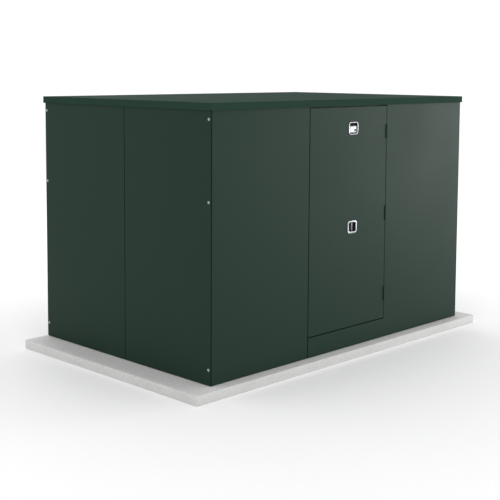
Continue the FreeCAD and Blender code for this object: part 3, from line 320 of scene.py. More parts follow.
def turned(stations: list[tuple[float, float]], sides: int = 32, lobes: int = 0,
           swell: float = 0.0) -> np.ndarray:
    """Rings of a turned shape: ring k is a circle of radius k at height k along z.

    With lobes, the radius grows and shrinks by swell times the cosine of lobes times the angle.

    Args:
        stations: height and radius of each ring.
        sides: points round a ring.
        lobes: number of bulges round the shape.
        swell: height of a bulge as a share of the radius.

    Returns:
        The rings.
    """
    height, radius = np.asarray(stations, float).T[..., None]
    angle = np.linspace(0, 2 * np.pi, sides, endpoint=False)[None]
    reach = radius * (1 + swell * np.cos(lobes * angle))
    return np.stack([reach * np.cos(angle), reach * np.sin(angle),
                     np.broadcast_to(height, reach.shape)], -1)


def carried(path: np.ndarray, section: np.ndarray, across: Spot,
            looped: bool = False) -> np.ndarray:
    """Rings of a section carried along a path.

    Ring k is path point k plus the section's first number along the sideways direction (the path's
    own direction crossed with across) and its second along the one square to both.

    Args:
        path: points of the path.
        section: closed outline as pairs of numbers.
        across: a direction that the path never runs along.
        looped: True if the path closes on itself.

    Returns:
        The rings, one for each point of the path.
    """
    along = (np.roll(path, -1, 0) - np.roll(path, 1, 0)) if looped else np.gradient(path, axis=0)
    along = along / np.linalg.norm(along, axis=1, keepdims=True)
    side = np.cross(along, np.asarray(across, float))
    side = side / np.linalg.norm(side, axis=1, keepdims=True)
    rise = np.cross(side, along)
    return (path[:, None] + side[:, None] * section[None, :, :1]
            + rise[:, None] * section[None, :, 1:])


def bent_line(handles: list[Spot], count: int) -> np.ndarray:
    """Points of a Bezier curve: handle i weighs n over i, times t to the i, times 1 - t to n - i.

    Args:
        handles: the curve's handles, first and last on it.
        count: points along it.

    Returns:
        The points as rows.
    """
    order = len(handles) - 1
    share = np.linspace(0, 1, count)[:, None]
    power = np.arange(order + 1)[None]
    weight = np.array([math.comb(order, i) for i in range(order + 1)])[None]
    return (weight * share ** power * (1 - share) ** (order - power)) @ np.asarray(handles, float)


def circle(radius: float, sides: int) -> np.ndarray:
    """Closed round section: radius times the cosine and sine of even steps."""
    angle = np.linspace(0, 2 * np.pi, sides, endpoint=False)
    return radius * np.stack([np.cos(angle), np.sin(angle)], -1)


def relief_block(low: tuple[float, float], high: tuple[float, float], thickness: float,
                 height: np.ndarray) -> np.ndarray:
    """Rings of a block whose upper face follows a height map.

    Ring i runs over the map's row i, at the block's thickness plus the height there, and back
    underneath, at nought.

    Args:
        low: least x and y.
        high: greatest x and y.
        thickness: the block's thickness where the map is nought.
        height: heights over x by y.

    Returns:
        The rings.
    """
    rows, columns = height.shape
    x = np.repeat(np.linspace(low[0], high[0], rows)[:, None], columns + 2, axis=1)
    line = np.linspace(low[1], high[1], columns)
    y = np.broadcast_to(np.concatenate([line, [high[1], low[1]]]), (rows, columns + 2))
    z = np.hstack([thickness + height, np.zeros((rows, 2))])
    return np.stack([x, y, z], -1)


class Skin:
    """Gathers closed surfaces and makes one mesh piece of them."""

    def __init__(self) -> None:
        """Start with no surface."""
        self.points: list[np.ndarray] = []
        self.faces: list[list[int]] = []
        self.count = 0

    def add(self, rings: np.ndarray, looped: bool = False) -> "Skin":
        """Add a surface: quads between neighbouring rings, and a fan of triangles on each end.

        Args:
            rings: the surface's rings.
            looped: True if the last ring joins the first, so that there is no end.

        Returns:
            This skin.
        """
        rows, columns, _ = rings.shape
        index = self.count + np.arange(rows * columns).reshape(rows, columns)
        lower = index if looped else index[:-1]
        upper = np.roll(index, -1, 0) if looped else index[1:]
        quads = np.stack([lower, np.roll(lower, -1, 1), np.roll(upper, -1, 1), upper], -1)
        self.faces += quads.reshape(-1, 4).tolist()
        self.points.append(rings.reshape(-1, 3))
        self.count += rows * columns
        for end in () if looped else (0, -1):
            hub = np.full(columns, self.count)
            self.faces += np.stack([index[end], np.roll(index[end], -1), hub], -1).tolist()
            self.points.append(rings[end].mean(0)[None])
            self.count += 1
        return self

    def put(self, facing: Facing, rings: np.ndarray, origin: Spot, looped: bool = False) -> "Skin":
        """Turn a surface to a facing, move its own origin to this one and add it, as add does."""
        return self.add(facing.place(rings, origin), looped)

    def build(self, name: str, finish: Finish, slot: str, body: str = "cabinet",
              replaces: tuple[str, ...] = ()) -> Piece:
        """Make the piece: mesh, outward faces, finish and the body that it rides on.

        Args:
            name: the piece's name.
            finish: its surface.
            slot: the record's material slot; not used.
            body: the moving body that carries it.
            replaces: CAD nodes that it stands for.

        Returns:
            The new object.
        """
        mesh = bpy.data.meshes.new(name)
        mesh.from_pydata((np.vstack(self.points) * MM).tolist(), [], self.faces)
        work = bmesh.new()
        work.from_mesh(mesh)
        bmesh.ops.recalc_face_normals(work, faces=work.faces)
        work.to_mesh(mesh)
        work.free()
        mesh.shade_smooth()
        mesh.set_sharp_from_angle(angle=SHARP_ANGLE)
        mesh.materials.append(finish.material())
        piece = put_in_scene(name, mesh)
        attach(piece, body)
        if replaces:
            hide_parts(*replaces)
        return piece


def put_in_scene(name: str, data: bpy.types.ID) -> Piece:
    """Make an object of its data and link it to the scene."""
    made = bpy.data.objects.new(name, data)
    bpy.context.scene.collection.objects.link(made)
    return made


def corners(node: str) -> tuple[np.ndarray, np.ndarray]:
    """Lowest and highest corner of a CAD node."""
    low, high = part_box(node)
    return np.array(low) / MM, np.array(high) / MM


def dress(plan: dict[str, tuple[Finish, float]]) -> list[Piece]:
    """Give CAD nodes their finish and ease their sharp edges.

    Args:
        plan: each node's name to its finish and the width of its eased edges.

    Returns:
        The nodes' objects.
    """
    parts = [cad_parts[node] for node in plan]
    for part, (finish, edge) in zip(parts, plan.values()):
        for place in range(len(part.data.materials)):
            part.data.materials[place] = finish.material()
        weld = part.modifiers.new("Weld", "WELD")
        weld.merge_threshold = WELD_MM * MM
        ease = part.modifiers.new("Ease", "BEVEL")
        ease.width = edge * MM
        ease.segments = 2
        ease.limit_method = "ANGLE"
        ease.angle_limit = EASED_ANGLE
        ease.harden_normals = True
    return parts


# ------------------------------------------------------------------ studio
@dataclass
class Studio:
    """Pale floor, soft lights and the camera, set out from the cabinet's near lower corner.

    Angles are in degrees.  The camera stands at stand times the cabinet's height from the corner.
    """

    floor_size: float = 60.0
    sky: str = "#ffffff"
    sky_strength: float = 1.06
    target: Spot = (0.0, 0.0, 0.45)
    sensor: float = 36.0
    lens: float = 75.04
    far: float = 200.0
    yaw: float = 44.625
    pitch: float = -5.266
    roll: float = 0.32
    shift: float = -0.17
    stand: Spot = (-2.456, -2.613, 1.1164)

    def build(self) -> list[Piece]:
        """Make the floor, the lights and the camera."""
        self.light_sky()
        self.add_lights()
        self.add_camera()
        return [self.add_floor()]

    def add_floor(self) -> Piece:
        """A level square, painted pale."""
        half = self.floor_size / 2
        mesh = bpy.data.meshes.new("studio_floor")
        mesh.from_pydata([(-half, -half, 0), (half, -half, 0), (half, half, 0), (-half, half, 0)],
                         [], [(0, 1, 2, 3)])
        mesh.materials.append(STUDIO_PAINT.material())
        floor = put_in_scene("studio_floor", mesh)
        return floor

    def light_sky(self) -> None:
        """An even pale surround."""
        world = bpy.data.worlds.new("studio_surround")
        world.use_nodes = True
        glow = world.node_tree.nodes["Background"]
        glow.inputs["Color"].default_value = linear(self.sky)
        glow.inputs["Strength"].default_value = self.sky_strength
        bpy.context.scene.world = world
        bpy.context.scene.view_settings.view_transform = "Standard"

    def add_lights(self) -> None:
        """Soft boxes: a low key from the front right, fill from the left, rim from behind."""
        # Place and side in metres, and power in watts.  The floor hides the key's lower half.
        boxes = {"key": ((6.3, -2.9, -0.5), 3.5, 475.0), "fill": ((-1.6, -5.2, 2.2), 3.0, 6.0),
                 "rim": ((1.5, 4.6, 3.6), 3.0, 40.0)}
        for name, (place, side, power) in boxes.items():
            light = bpy.data.lights.new(name, "AREA")
            light.shape = "SQUARE"
            light.size = side
            light.energy = power
            lamp = put_in_scene(name, light)
            lamp.location = place
            aim = Vector(self.target) - lamp.location
            lamp.rotation_euler = aim.to_track_quat("-Z", "Y").to_euler()

    def add_camera(self) -> None:
        """Stand the camera off the near corner, in units of the cabinet's height."""
        pad_top = corners("mounting_pad")[1][2]
        corner = np.array([corners("end_panel_front")[0][0], corners("front_panel")[0][1], pad_top])
        height = corners("roof")[1][2] - pad_top
        yaw, pitch, roll = (math.radians(turn) for turn in (self.yaw, self.pitch, self.roll))
        ahead = Vector((math.cos(yaw) * math.cos(pitch), math.sin(yaw) * math.cos(pitch),
                        math.sin(pitch)))
        level = Vector((math.sin(yaw), -math.cos(yaw), 0.0))
        rise = level.cross(ahead)
        right = math.cos(roll) * level + math.sin(roll) * rise
        up = math.cos(roll) * rise - math.sin(roll) * level
        camera = bpy.data.cameras.new("camera")
        camera.lens = self.lens
        camera.sensor_width = self.sensor
        camera.shift_y = self.shift
        camera.clip_end = self.far
        view = put_in_scene("camera", camera)
        stand = Vector((corner + height * np.array(self.stand)) * MM)
        view.matrix_world = Matrix.Translation(stand) \
            @ Matrix((right, up, -ahead)).transposed().to_4x4()
        bpy.context.scene.camera = view


# ------------------------------------------------------------------ pad and cabinet
# A turned profile lists height and radius; a pressed one lists inset, depth and corner radius.
@dataclass
class Pad:
    """Cast pad: a slab with round corners, an eased rim and a faintly uneven top."""

    corner: float = 6.0
    rim: float = 4.0
    rim_steps: int = 6
    foot_ease: float = 1.0
    underside_inset: float = 40.0
    top_insets: tuple[float, float] = (30.0, 110.0)
    inner_corner: float = 2.0
    sink: float = 0.3

    def build(self) -> list[Piece]:
        """Carry a quarter-round edge profile round the slab's outline."""
        low, high = corners("mounting_pad")
        width, depth, thick = high - low
        turn = np.linspace(0, np.pi / 2, self.rim_steps)
        inset = self.rim * (1 - np.cos(turn))
        level = thick - self.rim + self.rim * np.sin(turn)
        edge = [(a, b, self.corner - a) for a, b in zip(inset, level)]
        stations = [(self.underside_inset, 0, self.inner_corner),
                    (self.foot_ease, 0, self.corner - self.foot_ease),
                    (0, 1.5 * self.foot_ease, self.corner), *edge,
                    (self.top_insets[0], thick, self.inner_corner),
                    (self.top_insets[1], thick - self.sink, self.inner_corner)]
        slab = pressing(width, depth, stations)
        skin = Skin().put(Facing.TOP, slab, (low + high) / 2 * [1, 1, 0])
        return [skin.build("pad_slab", CAST_CONCRETE, "pad", replaces=("mounting_pad",))]


@dataclass
class Cabinet:
    """Folded panels, roof and frame of the enclosure, with the screws that hold them.

    The middle screw stands at screw_level of the way from the pad to the roof's top.
    """

    panel_edge: float = 0.9
    screw_radius: float = 6.0
    screw_rise: float = 2.5
    screw_level: float = 0.653

    def build(self) -> list[Piece]:
        """Dress the sheet metal and make the screws."""
        green = (POWDER_GREEN, self.panel_edge)
        return [*dress({
            "end_panel_front": green, "end_panel_rear": green, "outlet_panel": green,
            "front_panel": green, "door_side_panel": green, "rear_panel_left": green,
            "rear_panel_right": green, "roof": (CHALKED_GREEN, self.panel_edge),
            "base_frame": (BLACK_PRIMER, 1.2), "post_frame": (BLACK_PRIMER, 1.2),
            "floor_tray": (GALVANISED, 0.6), "bulkhead": (GALVANISED, 0.6),
            "anchor_bolts": (ZINC_PLATE, 0.6), "hinge_pins": (ZINC_PLATE, 0.6),
            "hinge_leaf_fixed": (POWDER_GREEN, 0.5), "roof_liner": (ACOUSTIC_FOAM, 4.0)}),
            self.screws()]

    def screws(self) -> Piece:
        """Button-head screws: a domed ring profile with a round drive sunk in it."""
        low, high = corners("panel_screws")
        pad_top = corners("mounting_pad")[1][2]
        top = corners("roof")[1][2]
        edge, rise = self.screw_radius, self.screw_rise
        rings = turned([(0, 6.0), (0.5, 6.0), (1.3, 5.5), (2.0, 4.3), (2.4, 2.9), (2.5, 2.3),
                        (2.5, 2.0), (0.9, 1.9)], 24)
        levels = (low[2] + edge, pad_top + self.screw_level * (top - pad_top), high[2] - edge)
        skin = Skin()
        for facing, x in ((Facing.LEFT, low[0] + rise), (Facing.RIGHT, high[0] - rise)):
            for y in (low[1] + edge, high[1] - edge):
                for level in levels:
                    skin.put(facing, rings, (x, y, level))
        return skin.build("panel_screw_heads", ZINC_PLATE, "zinc_steel", replaces=("panel_screws",))


# ------------------------------------------------------------------ service door and latches
@dataclass
class ServiceDoor:
    """The door's tray, foam, hinge leaves and seal.

    The foam is parted notch above and below each latch's line, up to notch_reach past its middle.
    """

    crate_pitch: float = 26.0
    crate_steps: int = 6
    crate_rise: float = 5.0
    crate_fade: float = 8.0
    notch: float = 28.0
    notch_reach: float = 34.0
    seal_inset: float = 7.0
    seal_corner: float = 6.0
    bulb_half: float = 6.8
    bulb_foot: float = 1.0
    bulb_clearance: float = 0.05
    bulb_power: float = 0.7

    def build(self) -> list[Piece]:
        """Dress the tray and the leaves, and make the foam and the seal."""
        return [*dress({"service_door": (POWDER_GREEN, 0.9),
                        "hinge_leaf_door": (POWDER_GREEN, 0.5)}), self.foam(), self.seal()]

    def crate(self, width: float, height: float) -> np.ndarray:
        """Egg-crate heights: rise times the product of a sine across and a sine up, halved.

        Args:
            width: size across.
            height: size up.

        Returns:
            Heights on a grid about a sixth of the pitch apart, level at the block's edges.
        """
        rows, columns = (max(4, int(side / self.crate_pitch * self.crate_steps))
                         for side in (width, height))
        across = np.linspace(0, width, rows)[:, None]
        up = np.linspace(0, height, columns)[None]
        wave = (np.sin(2 * np.pi * across / self.crate_pitch)
                * np.sin(2 * np.pi * up / self.crate_pitch))
        inside = np.minimum(1, np.minimum(across, width - across) / self.crate_fade)
        inside = inside * np.minimum(1, np.minimum(up, height - up) / self.crate_fade)
        return (wave - 1) * self.crate_rise / 2 * inside

    def foam(self) -> Piece:
        """Egg-crate foam in four blocks, parted where the latches' bolts run."""
        low, high = corners("door_liner")
        latch_low, latch_high = corners("latch_dishes")
        line = (latch_low[0] + latch_high[0]) / 2 + self.notch_reach
        rim, gap = LATCH_PLATE[1] / 2, self.notch
        levels = (latch_low[2] + rim, latch_high[2] - rim)
        spans = [(line, high[0], low[2], high[2]), (low[0], line, low[2], levels[0] - gap),
                 (low[0], line, levels[0] + gap, levels[1] - gap),
                 (low[0], line, levels[1] + gap, high[2])]
        thick = high[1] - low[1]
        skin = Skin()
        for left, right, foot, head in spans:
            width, height = right - left, head - foot
            rings = relief_block((-width, 0), (0, height), thick, self.crate(width, height))
            skin.put(Facing.BACK, rings, (left, low[1], foot))
        return skin.build("door_foam", ACOUSTIC_FOAM, "foam", "door", ("door_liner",))

    def seal(self) -> Piece:
        """Hollow-bulb seal: a lobed section carried round the opening's edge."""
        low, high = corners("door_seal")
        width, thick, height = high - low
        outline = pressing(width - 2 * self.seal_inset, height - 2 * self.seal_inset,
                           [(0, 0, self.seal_corner)])[0]
        middle = (low + high) / 2
        path = Facing.FRONT.place(outline, (middle[0], high[1], middle[2]))
        angle = np.linspace(0, np.pi, 13)
        rise = thick - self.bulb_foot - self.bulb_clearance
        dome = np.stack([self.bulb_half * np.cos(angle),
                         self.bulb_foot + rise * np.sin(angle) ** self.bulb_power], -1)
        section = np.vstack([dome, [(-self.bulb_half, 0.0), (self.bulb_half, 0.0)]])
        rings = carried(path, section * [1, -1], (0, 1, 0), looped=True)
        return Skin().add(rings, looped=True).build(
            "door_seal_bulb", EPDM_RUBBER, "rubber", replaces=("door_seal",))


@dataclass
class Latches:
    """Upper paddle latch and lower turn latch in their pressed dishes."""

    rim_width: float = 60.0
    rim_height: float = 53.0
    rim_corner: float = 12.0
    upper_band: float = 4.0
    lower_band: float = 7.0
    rim_rise: float = 2.0
    dish_depth: float = 15.0
    dish_wall: float = 1.5
    paddle_width: float = 50.0
    pivot_rise: float = 2.5
    grip_width: float = 9.0
    grip_length: float = 36.0
    grip_waist: float = 0.16

    def build(self) -> list[Piece]:
        """Make the dishes and what moves in them, and dress the bolts."""
        low, high = corners("latch_dishes")
        self.line = (low[0] + high[0]) / 2
        self.face = low[1] + self.rim_rise
        half = LATCH_PLATE[1] / 2
        self.levels = {"upper": high[2] - half, "lower": low[2] + half}
        return [self.rims(), self.gaskets(), self.wells(), self.paddle(), *self.key(),
                self.turn_handle(),
                *dress({"upper_bolt": (ZINC_PLATE, 0.6), "lower_bolt": (ZINC_PLATE, 0.6)})]

    def rims(self) -> Piece:
        """Bright bezels: a rolled rim profile carried round each dish's mouth."""
        skin, outer = Skin(), self.rim_corner
        for name, band in (("upper", self.upper_band), ("lower", self.lower_band)):
            inner = outer - band
            stations = [(band - 0.2, 0.5, inner), (0.3, 0.5, outer - 0.3), (0.0, 0.9, outer),
                        (0.2, 1.5, outer - 0.2), (1.0, 2.0, outer - 1),
                        (band - 1.2, 2.0, inner + 1.2), (band - 0.3, 1.7, inner + 0.3),
                        (band, 1.1, inner), (band, 0.6, inner)]
            skin.put(Facing.FRONT, pressing(self.rim_width, self.rim_height, stations),
                     (self.line, self.face, self.levels[name]), looped=True)
        return skin.build("latch_rims", POLISHED_STEEL, "stainless", "door", ("latch_dishes",))

    def plates(self, stations: list[Spot], looped: bool = False) -> Skin:
        """Press one profile at both latches: a ring if looped, or else a tub."""
        skin = Skin()
        for level in self.levels.values():
            skin.put(Facing.FRONT, pressing(*LATCH_PLATE, stations), (self.line, self.face, level),
                     looped)
        return skin

    def gaskets(self) -> Piece:
        """Flat rubber gaskets between the bezels and the door, a little wider than the bezels."""
        stations = [(7.2, 0.0, 5.0), (0.0, 0.0, 13.0), (0.0, 0.4, 13.0), (0.3, 0.6, 12.7),
                    (7.2, 0.6, 5.0)]
        return self.plates(stations, looped=True).build(
            "latch_gaskets", EPDM_RUBBER, "stainless", "door")

    def wells(self) -> Piece:
        """Dark tubs behind the rims: outside wall, lip, inside wall with draft, round floor."""
        deep = -self.dish_depth
        floor = deep + self.dish_wall
        stations = [(9, deep, 3), (6.5, deep + 1, 4.5), (5.6, deep + 3.5, 5), (5.6, -0.2, 5.6),
                    (6.9, -0.2, 5.2), (7.0, floor + 4, 4.8), (8, floor + 1, 4), (10, floor, 3)]
        # The tubs are black so that the recesses read dark: the black is painted shade.
        return self.plates(stations).build("latch_wells_painted_shade", BLACK_PRIMER, "stainless", "door")

    def paddle(self) -> Piece:
        """Paddle with a cushioned face, a raised grip bead on its free edge and a hinge tube."""
        low, high = corners("upper_paddle")
        width, pivot = self.paddle_width, low[2] + self.pivot_rise
        height = high[2] - pivot
        y = self.face + 1.5
        plate = pressing(width, height, [(1.2, -3.0, 1.6), (0.1, -2.3, 2.4), (0, -0.9, 2.6),
                                         (0.5, -0.2, 2.4), (1.8, 0, 1.8)])
        bead = pressing(width - 6, 3.6, [(0.2, -0.4, 1.0), (0, 0.3, 1.2), (0.5, 0.9, 1.0),
                                         (1.4, 1.1, 0.6)], 3)
        end = width / 2
        tube = turned([(-end, 2.0), (-end + 0.4, 2.4), (end - 0.4, 2.4), (end, 2.0)], 20)
        return (Skin()
                .put(Facing.FRONT, plate, (self.line, y, pivot + height / 2))
                .put(Facing.FRONT, bead, (self.line, y, high[2] - 2.6))
                .put(Facing.RIGHT, tube, (self.line, self.face + 3, pivot))
                .build("latch_paddle", POLISHED_STEEL, "stainless", "upper_paddle",
                       ("upper_paddle",)))

    def key(self) -> list[Piece]:
        """Lock barrel with a bevelled collar, and the keyway across it."""
        low, high = corners("upper_key")
        middle = ((low[0] + high[0]) / 2, low[1], (low[2] + high[2]) / 2)
        barrel = turned([(-6.9, 3.9), (-0.9, 3.95), (-0.9, 5.9), (0.1, 6.0), (0.5, 5.4), (0.5, 4.2),
                         (0, 3.6)], 28)
        way = pressing(1.3, 5.0, [(0, -1.0, 0.3), (0, 0.03, 0.3)], 2)
        return [Skin().put(Facing.FRONT, barrel, middle).build(
                    "lock_barrel", BLACK_PRIMER, "stainless", "upper_key", ("upper_key",)),
                # The keyway's darker steel is painted shade in the slot.
                Skin().put(Facing.FRONT, way, middle).build(
                    "lock_keyway", SHADED_STEEL, "stainless", "upper_key")]

    def turn_handle(self) -> Piece:
        """Turn handle: a waisted grip bar on a round hub."""
        low, high = corners("lower_turn_handle")
        place = (self.line, low[1], self.levels["lower"])
        grip = [(0.8, -6, 2.4), (0, -5, 3.2), (0, -1.8, 3.6), (0.7, -0.5, 3.2), (2.0, 0, 2.2)]
        bar = pressing(self.grip_width, self.grip_length, grip)
        share = np.clip(bar[..., 1] / (self.grip_length / 2), -1, 1)
        bar[..., 0] *= 1 - self.grip_waist * np.cos(np.pi * share / 2) ** 2
        reach = high[1] - low[1]
        hub = turned([(-reach, 4.4), (-reach + 0.5, 4.9), (-6, 4.9), (-5.5, 6.2), (-4.8, 6.2)], 24)
        # The grip's darker steel is painted shade.
        return Skin().put(Facing.FRONT, bar, place).put(Facing.FRONT, hub, place).build(
            "turn_handle_grip", SHADED_STEEL, "stainless", "lower_turn_handle",
            ("lower_turn_handle",))


# ------------------------------------------------------------------ engine set
# Height and share of the radius of each ring of a washer-faced bolt head, 7 mm in radius.
HEX = [(0, 1.15), (0.8, 1.15), (0.8, 1.0), (4.2, 1.0), (5.0, 0.86)]
HEX_RADIUS = 7


def bolt_head(radius: float) -> np.ndarray:
    """Rings of a washer-faced bolt head: a turned profile with six lobes, this radius across."""
    profile = [(height * radius / HEX_RADIUS, radius * share) for height, share in HEX]
    rings = turned(profile, 18, lobes=6, swell=0.05)
    rings[:2] = turned([(height, HEX[0][1] * radius) for height in rings[:2, 0, 2]], 18)
    return rings


def panel(width: float, height: float, rise: float, radius: float = 4.0) -> np.ndarray:
    """Rings of a raised panel with a soft edge, from just under the face it stands on."""
    return pressing(width, height, [(0, -1, radius), (0, rise - 1.2, radius),
                                    (0.4, rise - 0.4, radius), (1.4, rise, radius - 1)], 4)


@dataclass
class Engine:
    """Engine block, head and what bolts to them."""

    rib_count: int = 8
    rib_width: float = 12.0
    rib_rise: float = 7.0
    rib_pitch: float = 57.0
    rib_foot: float = 12.0
    rib_head: float = 34.0
    rail_height: float = 18.0
    rail_inset: float = 14.0
    plug_count: int = 3
    plug_level: float = 0.45
    bolt_inset: float = 14.0
    cap_reach: float = 70.0
    coil_reach: float = 55.0
    lead_start: float = 100.0
    lead_pitch: float = 72.0
    lead: float = 3.6

    def build(self) -> list[Piece]:
        """Dress the castings, then add ribs, bolts, cap and leads."""
        return [*dress({
            "engine_block": (ENGINE_ENAMEL, 5.0), "oil_pan": (BLACK_PRIMER, 3.0),
            "cylinder_head": (CAST_ALUMINIUM, 3.0), "valve_cover": (CAST_ALUMINIUM, 3.0),
            "flywheel_housing": (ENGINE_ENAMEL, 4.0), "starter_motor": (BLACK_PRIMER, 2.0),
            "oil_filter": (ENAMEL_RED, 3.0), "water_pump": (CAST_ALUMINIUM, 2.0),
            "crankshaft": (ZINC_PLATE, 0.8), "fan_belt": (EPDM_RUBBER, 0.8),
            "engine_mounts": (EPDM_RUBBER, 2.0), "engine_cradle": (BLACK_PRIMER, 1.2)}),
            self.ribs(), self.bolts(), self.cap(), *self.ignition()]

    def ribs(self) -> Piece:
        """Cast ribs, a deck rail and core plugs on the block's front and back faces."""
        low, high = corners("engine_block")
        middle = (low + high) / 2
        foot = corners("oil_filter")[1][2] + self.rib_foot
        tall = high[2] - foot - self.rib_head
        rib = panel(self.rib_width, tall, self.rib_rise)
        rail = panel(high[0] - low[0] - self.rail_inset, self.rail_height, self.rib_rise + 2)
        plug = turned([(-1, 17), (2.5, 17), (3.2, 16), (3.2, 14), (1.2, 12.5)], 28)
        skin = Skin()
        for facing, face in ((Facing.FRONT, low[1]), (Facing.BACK, high[1])):
            for turn in range(self.rib_count):
                x = middle[0] + (turn - (self.rib_count - 1) / 2) * self.rib_pitch
                skin.put(facing, rib, (x, face, foot + tall / 2))
            skin.put(facing, rail, (middle[0], face, high[2] - self.rail_inset))
            for turn in range(self.plug_count):
                x = middle[0] + (turn - 1) * 2 * self.rib_pitch + self.rib_pitch
                skin.put(facing, plug, (x, face, foot + tall * self.plug_level))
        return skin.build("block_ribs", ENGINE_ENAMEL, "cast_grey")

    def bolts(self) -> Piece:
        """Hexagon bolts: along the valve cover, down the head's sides and round the oil pan."""
        skin = Skin()
        low, high = corners("valve_cover")
        for x in np.linspace(low[0] + 22, high[0] - 22, 5):
            for y in (low[1] + 16, high[1] - 16):
                skin.put(Facing.TOP, bolt_head(8), (x, y, high[2]))
        # Node, number of bolts, their inset and radius, and the edge they line: 0 low, 1 high.
        rows = (("oil_pan", 7, 20, 6, 1), ("cylinder_head", 6, 30, 7, 0))
        for node, count, inset, radius, edge in rows:
            box = corners(node)
            level = box[edge][2] + (1 - 2 * edge) * self.bolt_inset
            for x in np.linspace(box[0][0] + inset, box[1][0] - inset, count):
                skin.put(Facing.FRONT, bolt_head(radius), (x, box[0][1], level))
        return skin.build("engine_bolts", ZINC_PLATE, "aluminium")

    def cap(self) -> Piece:
        """Oil filler cap with finger lobes, on its neck."""
        low, high = corners("valve_cover")
        cap = turned([(-1, 24), (6, 24), (6.5, 29), (9, 30), (18, 30), (21, 28), (22, 22),
                      (20.5, 12)], 60, lobes=10, swell=0.05)
        place = (low[0] + self.cap_reach, (low[1] + high[1]) / 2, high[2])
        return Skin().put(Facing.TOP, cap, place).build(
            "oil_filler_cap", MOULDED_NYLON, "aluminium")

    def ignition(self) -> list[Piece]:
        """Coil pack on the head with four leads that arch to their plug boots."""
        low, high = corners("cylinder_head")
        cover = corners("valve_cover")[0][1]
        line, deck = (low[1] + cover) / 2, high[2]
        start = low[0] + self.coil_reach
        pack = pressing(64, 20, [(0, -1, 4), (0, 36, 4), (1.2, 39, 4), (5, 40, 3)], 4)
        coil = Skin().put(Facing.TOP, pack, (start, line, deck))
        boot = turned([(-1, 8.5), (22, 8.5), (24, 7.5), (30, 6), (34, 5.2)], 20)
        leads = Skin()
        for turn in range(4):
            reach = start + (self.lead_start + self.lead_pitch * turn)
            leads.put(Facing.TOP, boot, (reach, line, deck))
            out = start + 30
            rise = deck + (8 + 8 * turn)
            path = bent_line([(out, line, rise), (out + 30, line, rise),
                              (reach - 10, line - 3, rise + 38),
                              (reach, line, deck + 62), (reach, line, deck + 32)], 26)
            leads.add(carried(path, circle(self.lead, 12), (0, 1, 0)))
        return [coil.build("ignition_coil", MOULDED_NYLON, "aluminium"),
                leads.build("ignition_leads", EPDM_RUBBER, "aluminium")]


@dataclass
class Alternator:
    """Alternator frame with its fins, terminal box and conduit."""

    fin_count: int = 12
    fin_span: tuple[float, float] = (48.0, 306.0)
    fin_size: float = 5.0
    flanges: tuple[tuple[float, float], ...] = ((6.0, 22.0), (338.0, 354.0))
    flange_rise: float = 8.0
    conduit: float = 13.0
    conduit_steps: int = 130
    conduit_swell: float = 0.09

    def build(self) -> list[Piece]:
        """Dress the frame and the rotor, then add fins, box and conduit."""
        return [*dress({"alternator_stator": (ENGINE_ENAMEL, 3.0),
                        "alternator_rotor": (WINDING_COPPER, 1.0)}), self.fins(), *self.outlet()]

    def fins(self) -> Piece:
        """Turned end flanges and ring fins: one closed profile for each band round the shaft."""
        low, high = corners("alternator_stator")
        middle, radius = (low + high) / 2, (high[1] - low[1]) / 2
        bands = [(*span, self.flange_rise) for span in self.flanges]
        bands += [(at, at + self.fin_size, self.fin_size)
                  for at in np.linspace(*self.fin_span, self.fin_count)]
        root, ease = radius - 2, 1.2
        skin = Skin()
        for start, stop, rise in bands:
            tip = radius + rise
            ring = turned([(start, root), (start, tip - ease), (start + ease, tip),
                           (stop - ease, tip), (stop, tip - ease), (stop, root)], 64)
            skin.put(Facing.RIGHT, ring, (low[0], middle[1], middle[2]), looped=True)
        return skin.build("alternator_fins", ENGINE_ENAMEL, "cast_grey")

    def outlet(self) -> list[Piece]:
        """Terminal box on top, and the corrugated conduit from it to the control box."""
        low, high = corners("alternator_stator")
        box_low, box_high = corners("control_box")
        middle = (low + high) / 2
        case = pressing(150, 120, [(0, -16, 8), (0, 58, 8), (-2, 58, 9), (-2, 64, 9), (0, 66, 8),
                                   (8, 66.5, 6)])
        x, y, z = middle[0], middle[1] - 59, high[2] + 26
        goal = (box_low[0] + 70, (box_low[1] + box_high[1]) / 2, box_low[2] + 2)
        path = bent_line([(x, y, z), (x, y - 170, z), (goal[0], goal[1] + 30, z - 60),
                          (goal[0], goal[1], goal[2] - 90), goal], self.conduit_steps)
        rings = carried(path, circle(self.conduit, 16), (1, 0, 0))
        wave = np.sign(np.sin(np.arange(self.conduit_steps) * np.pi / 2 + 0.7))
        swell = (1 + self.conduit_swell * wave)[:, None, None]
        rings = path[:, None] + (rings - path[:, None]) * swell
        return [Skin().put(Facing.TOP, case, (middle[0], middle[1], high[2])).build(
                    "terminal_box", POWDER_GREY, "cast_grey"),
                Skin().add(rings).build("output_conduit", MOULDED_NYLON, "grey_box")]


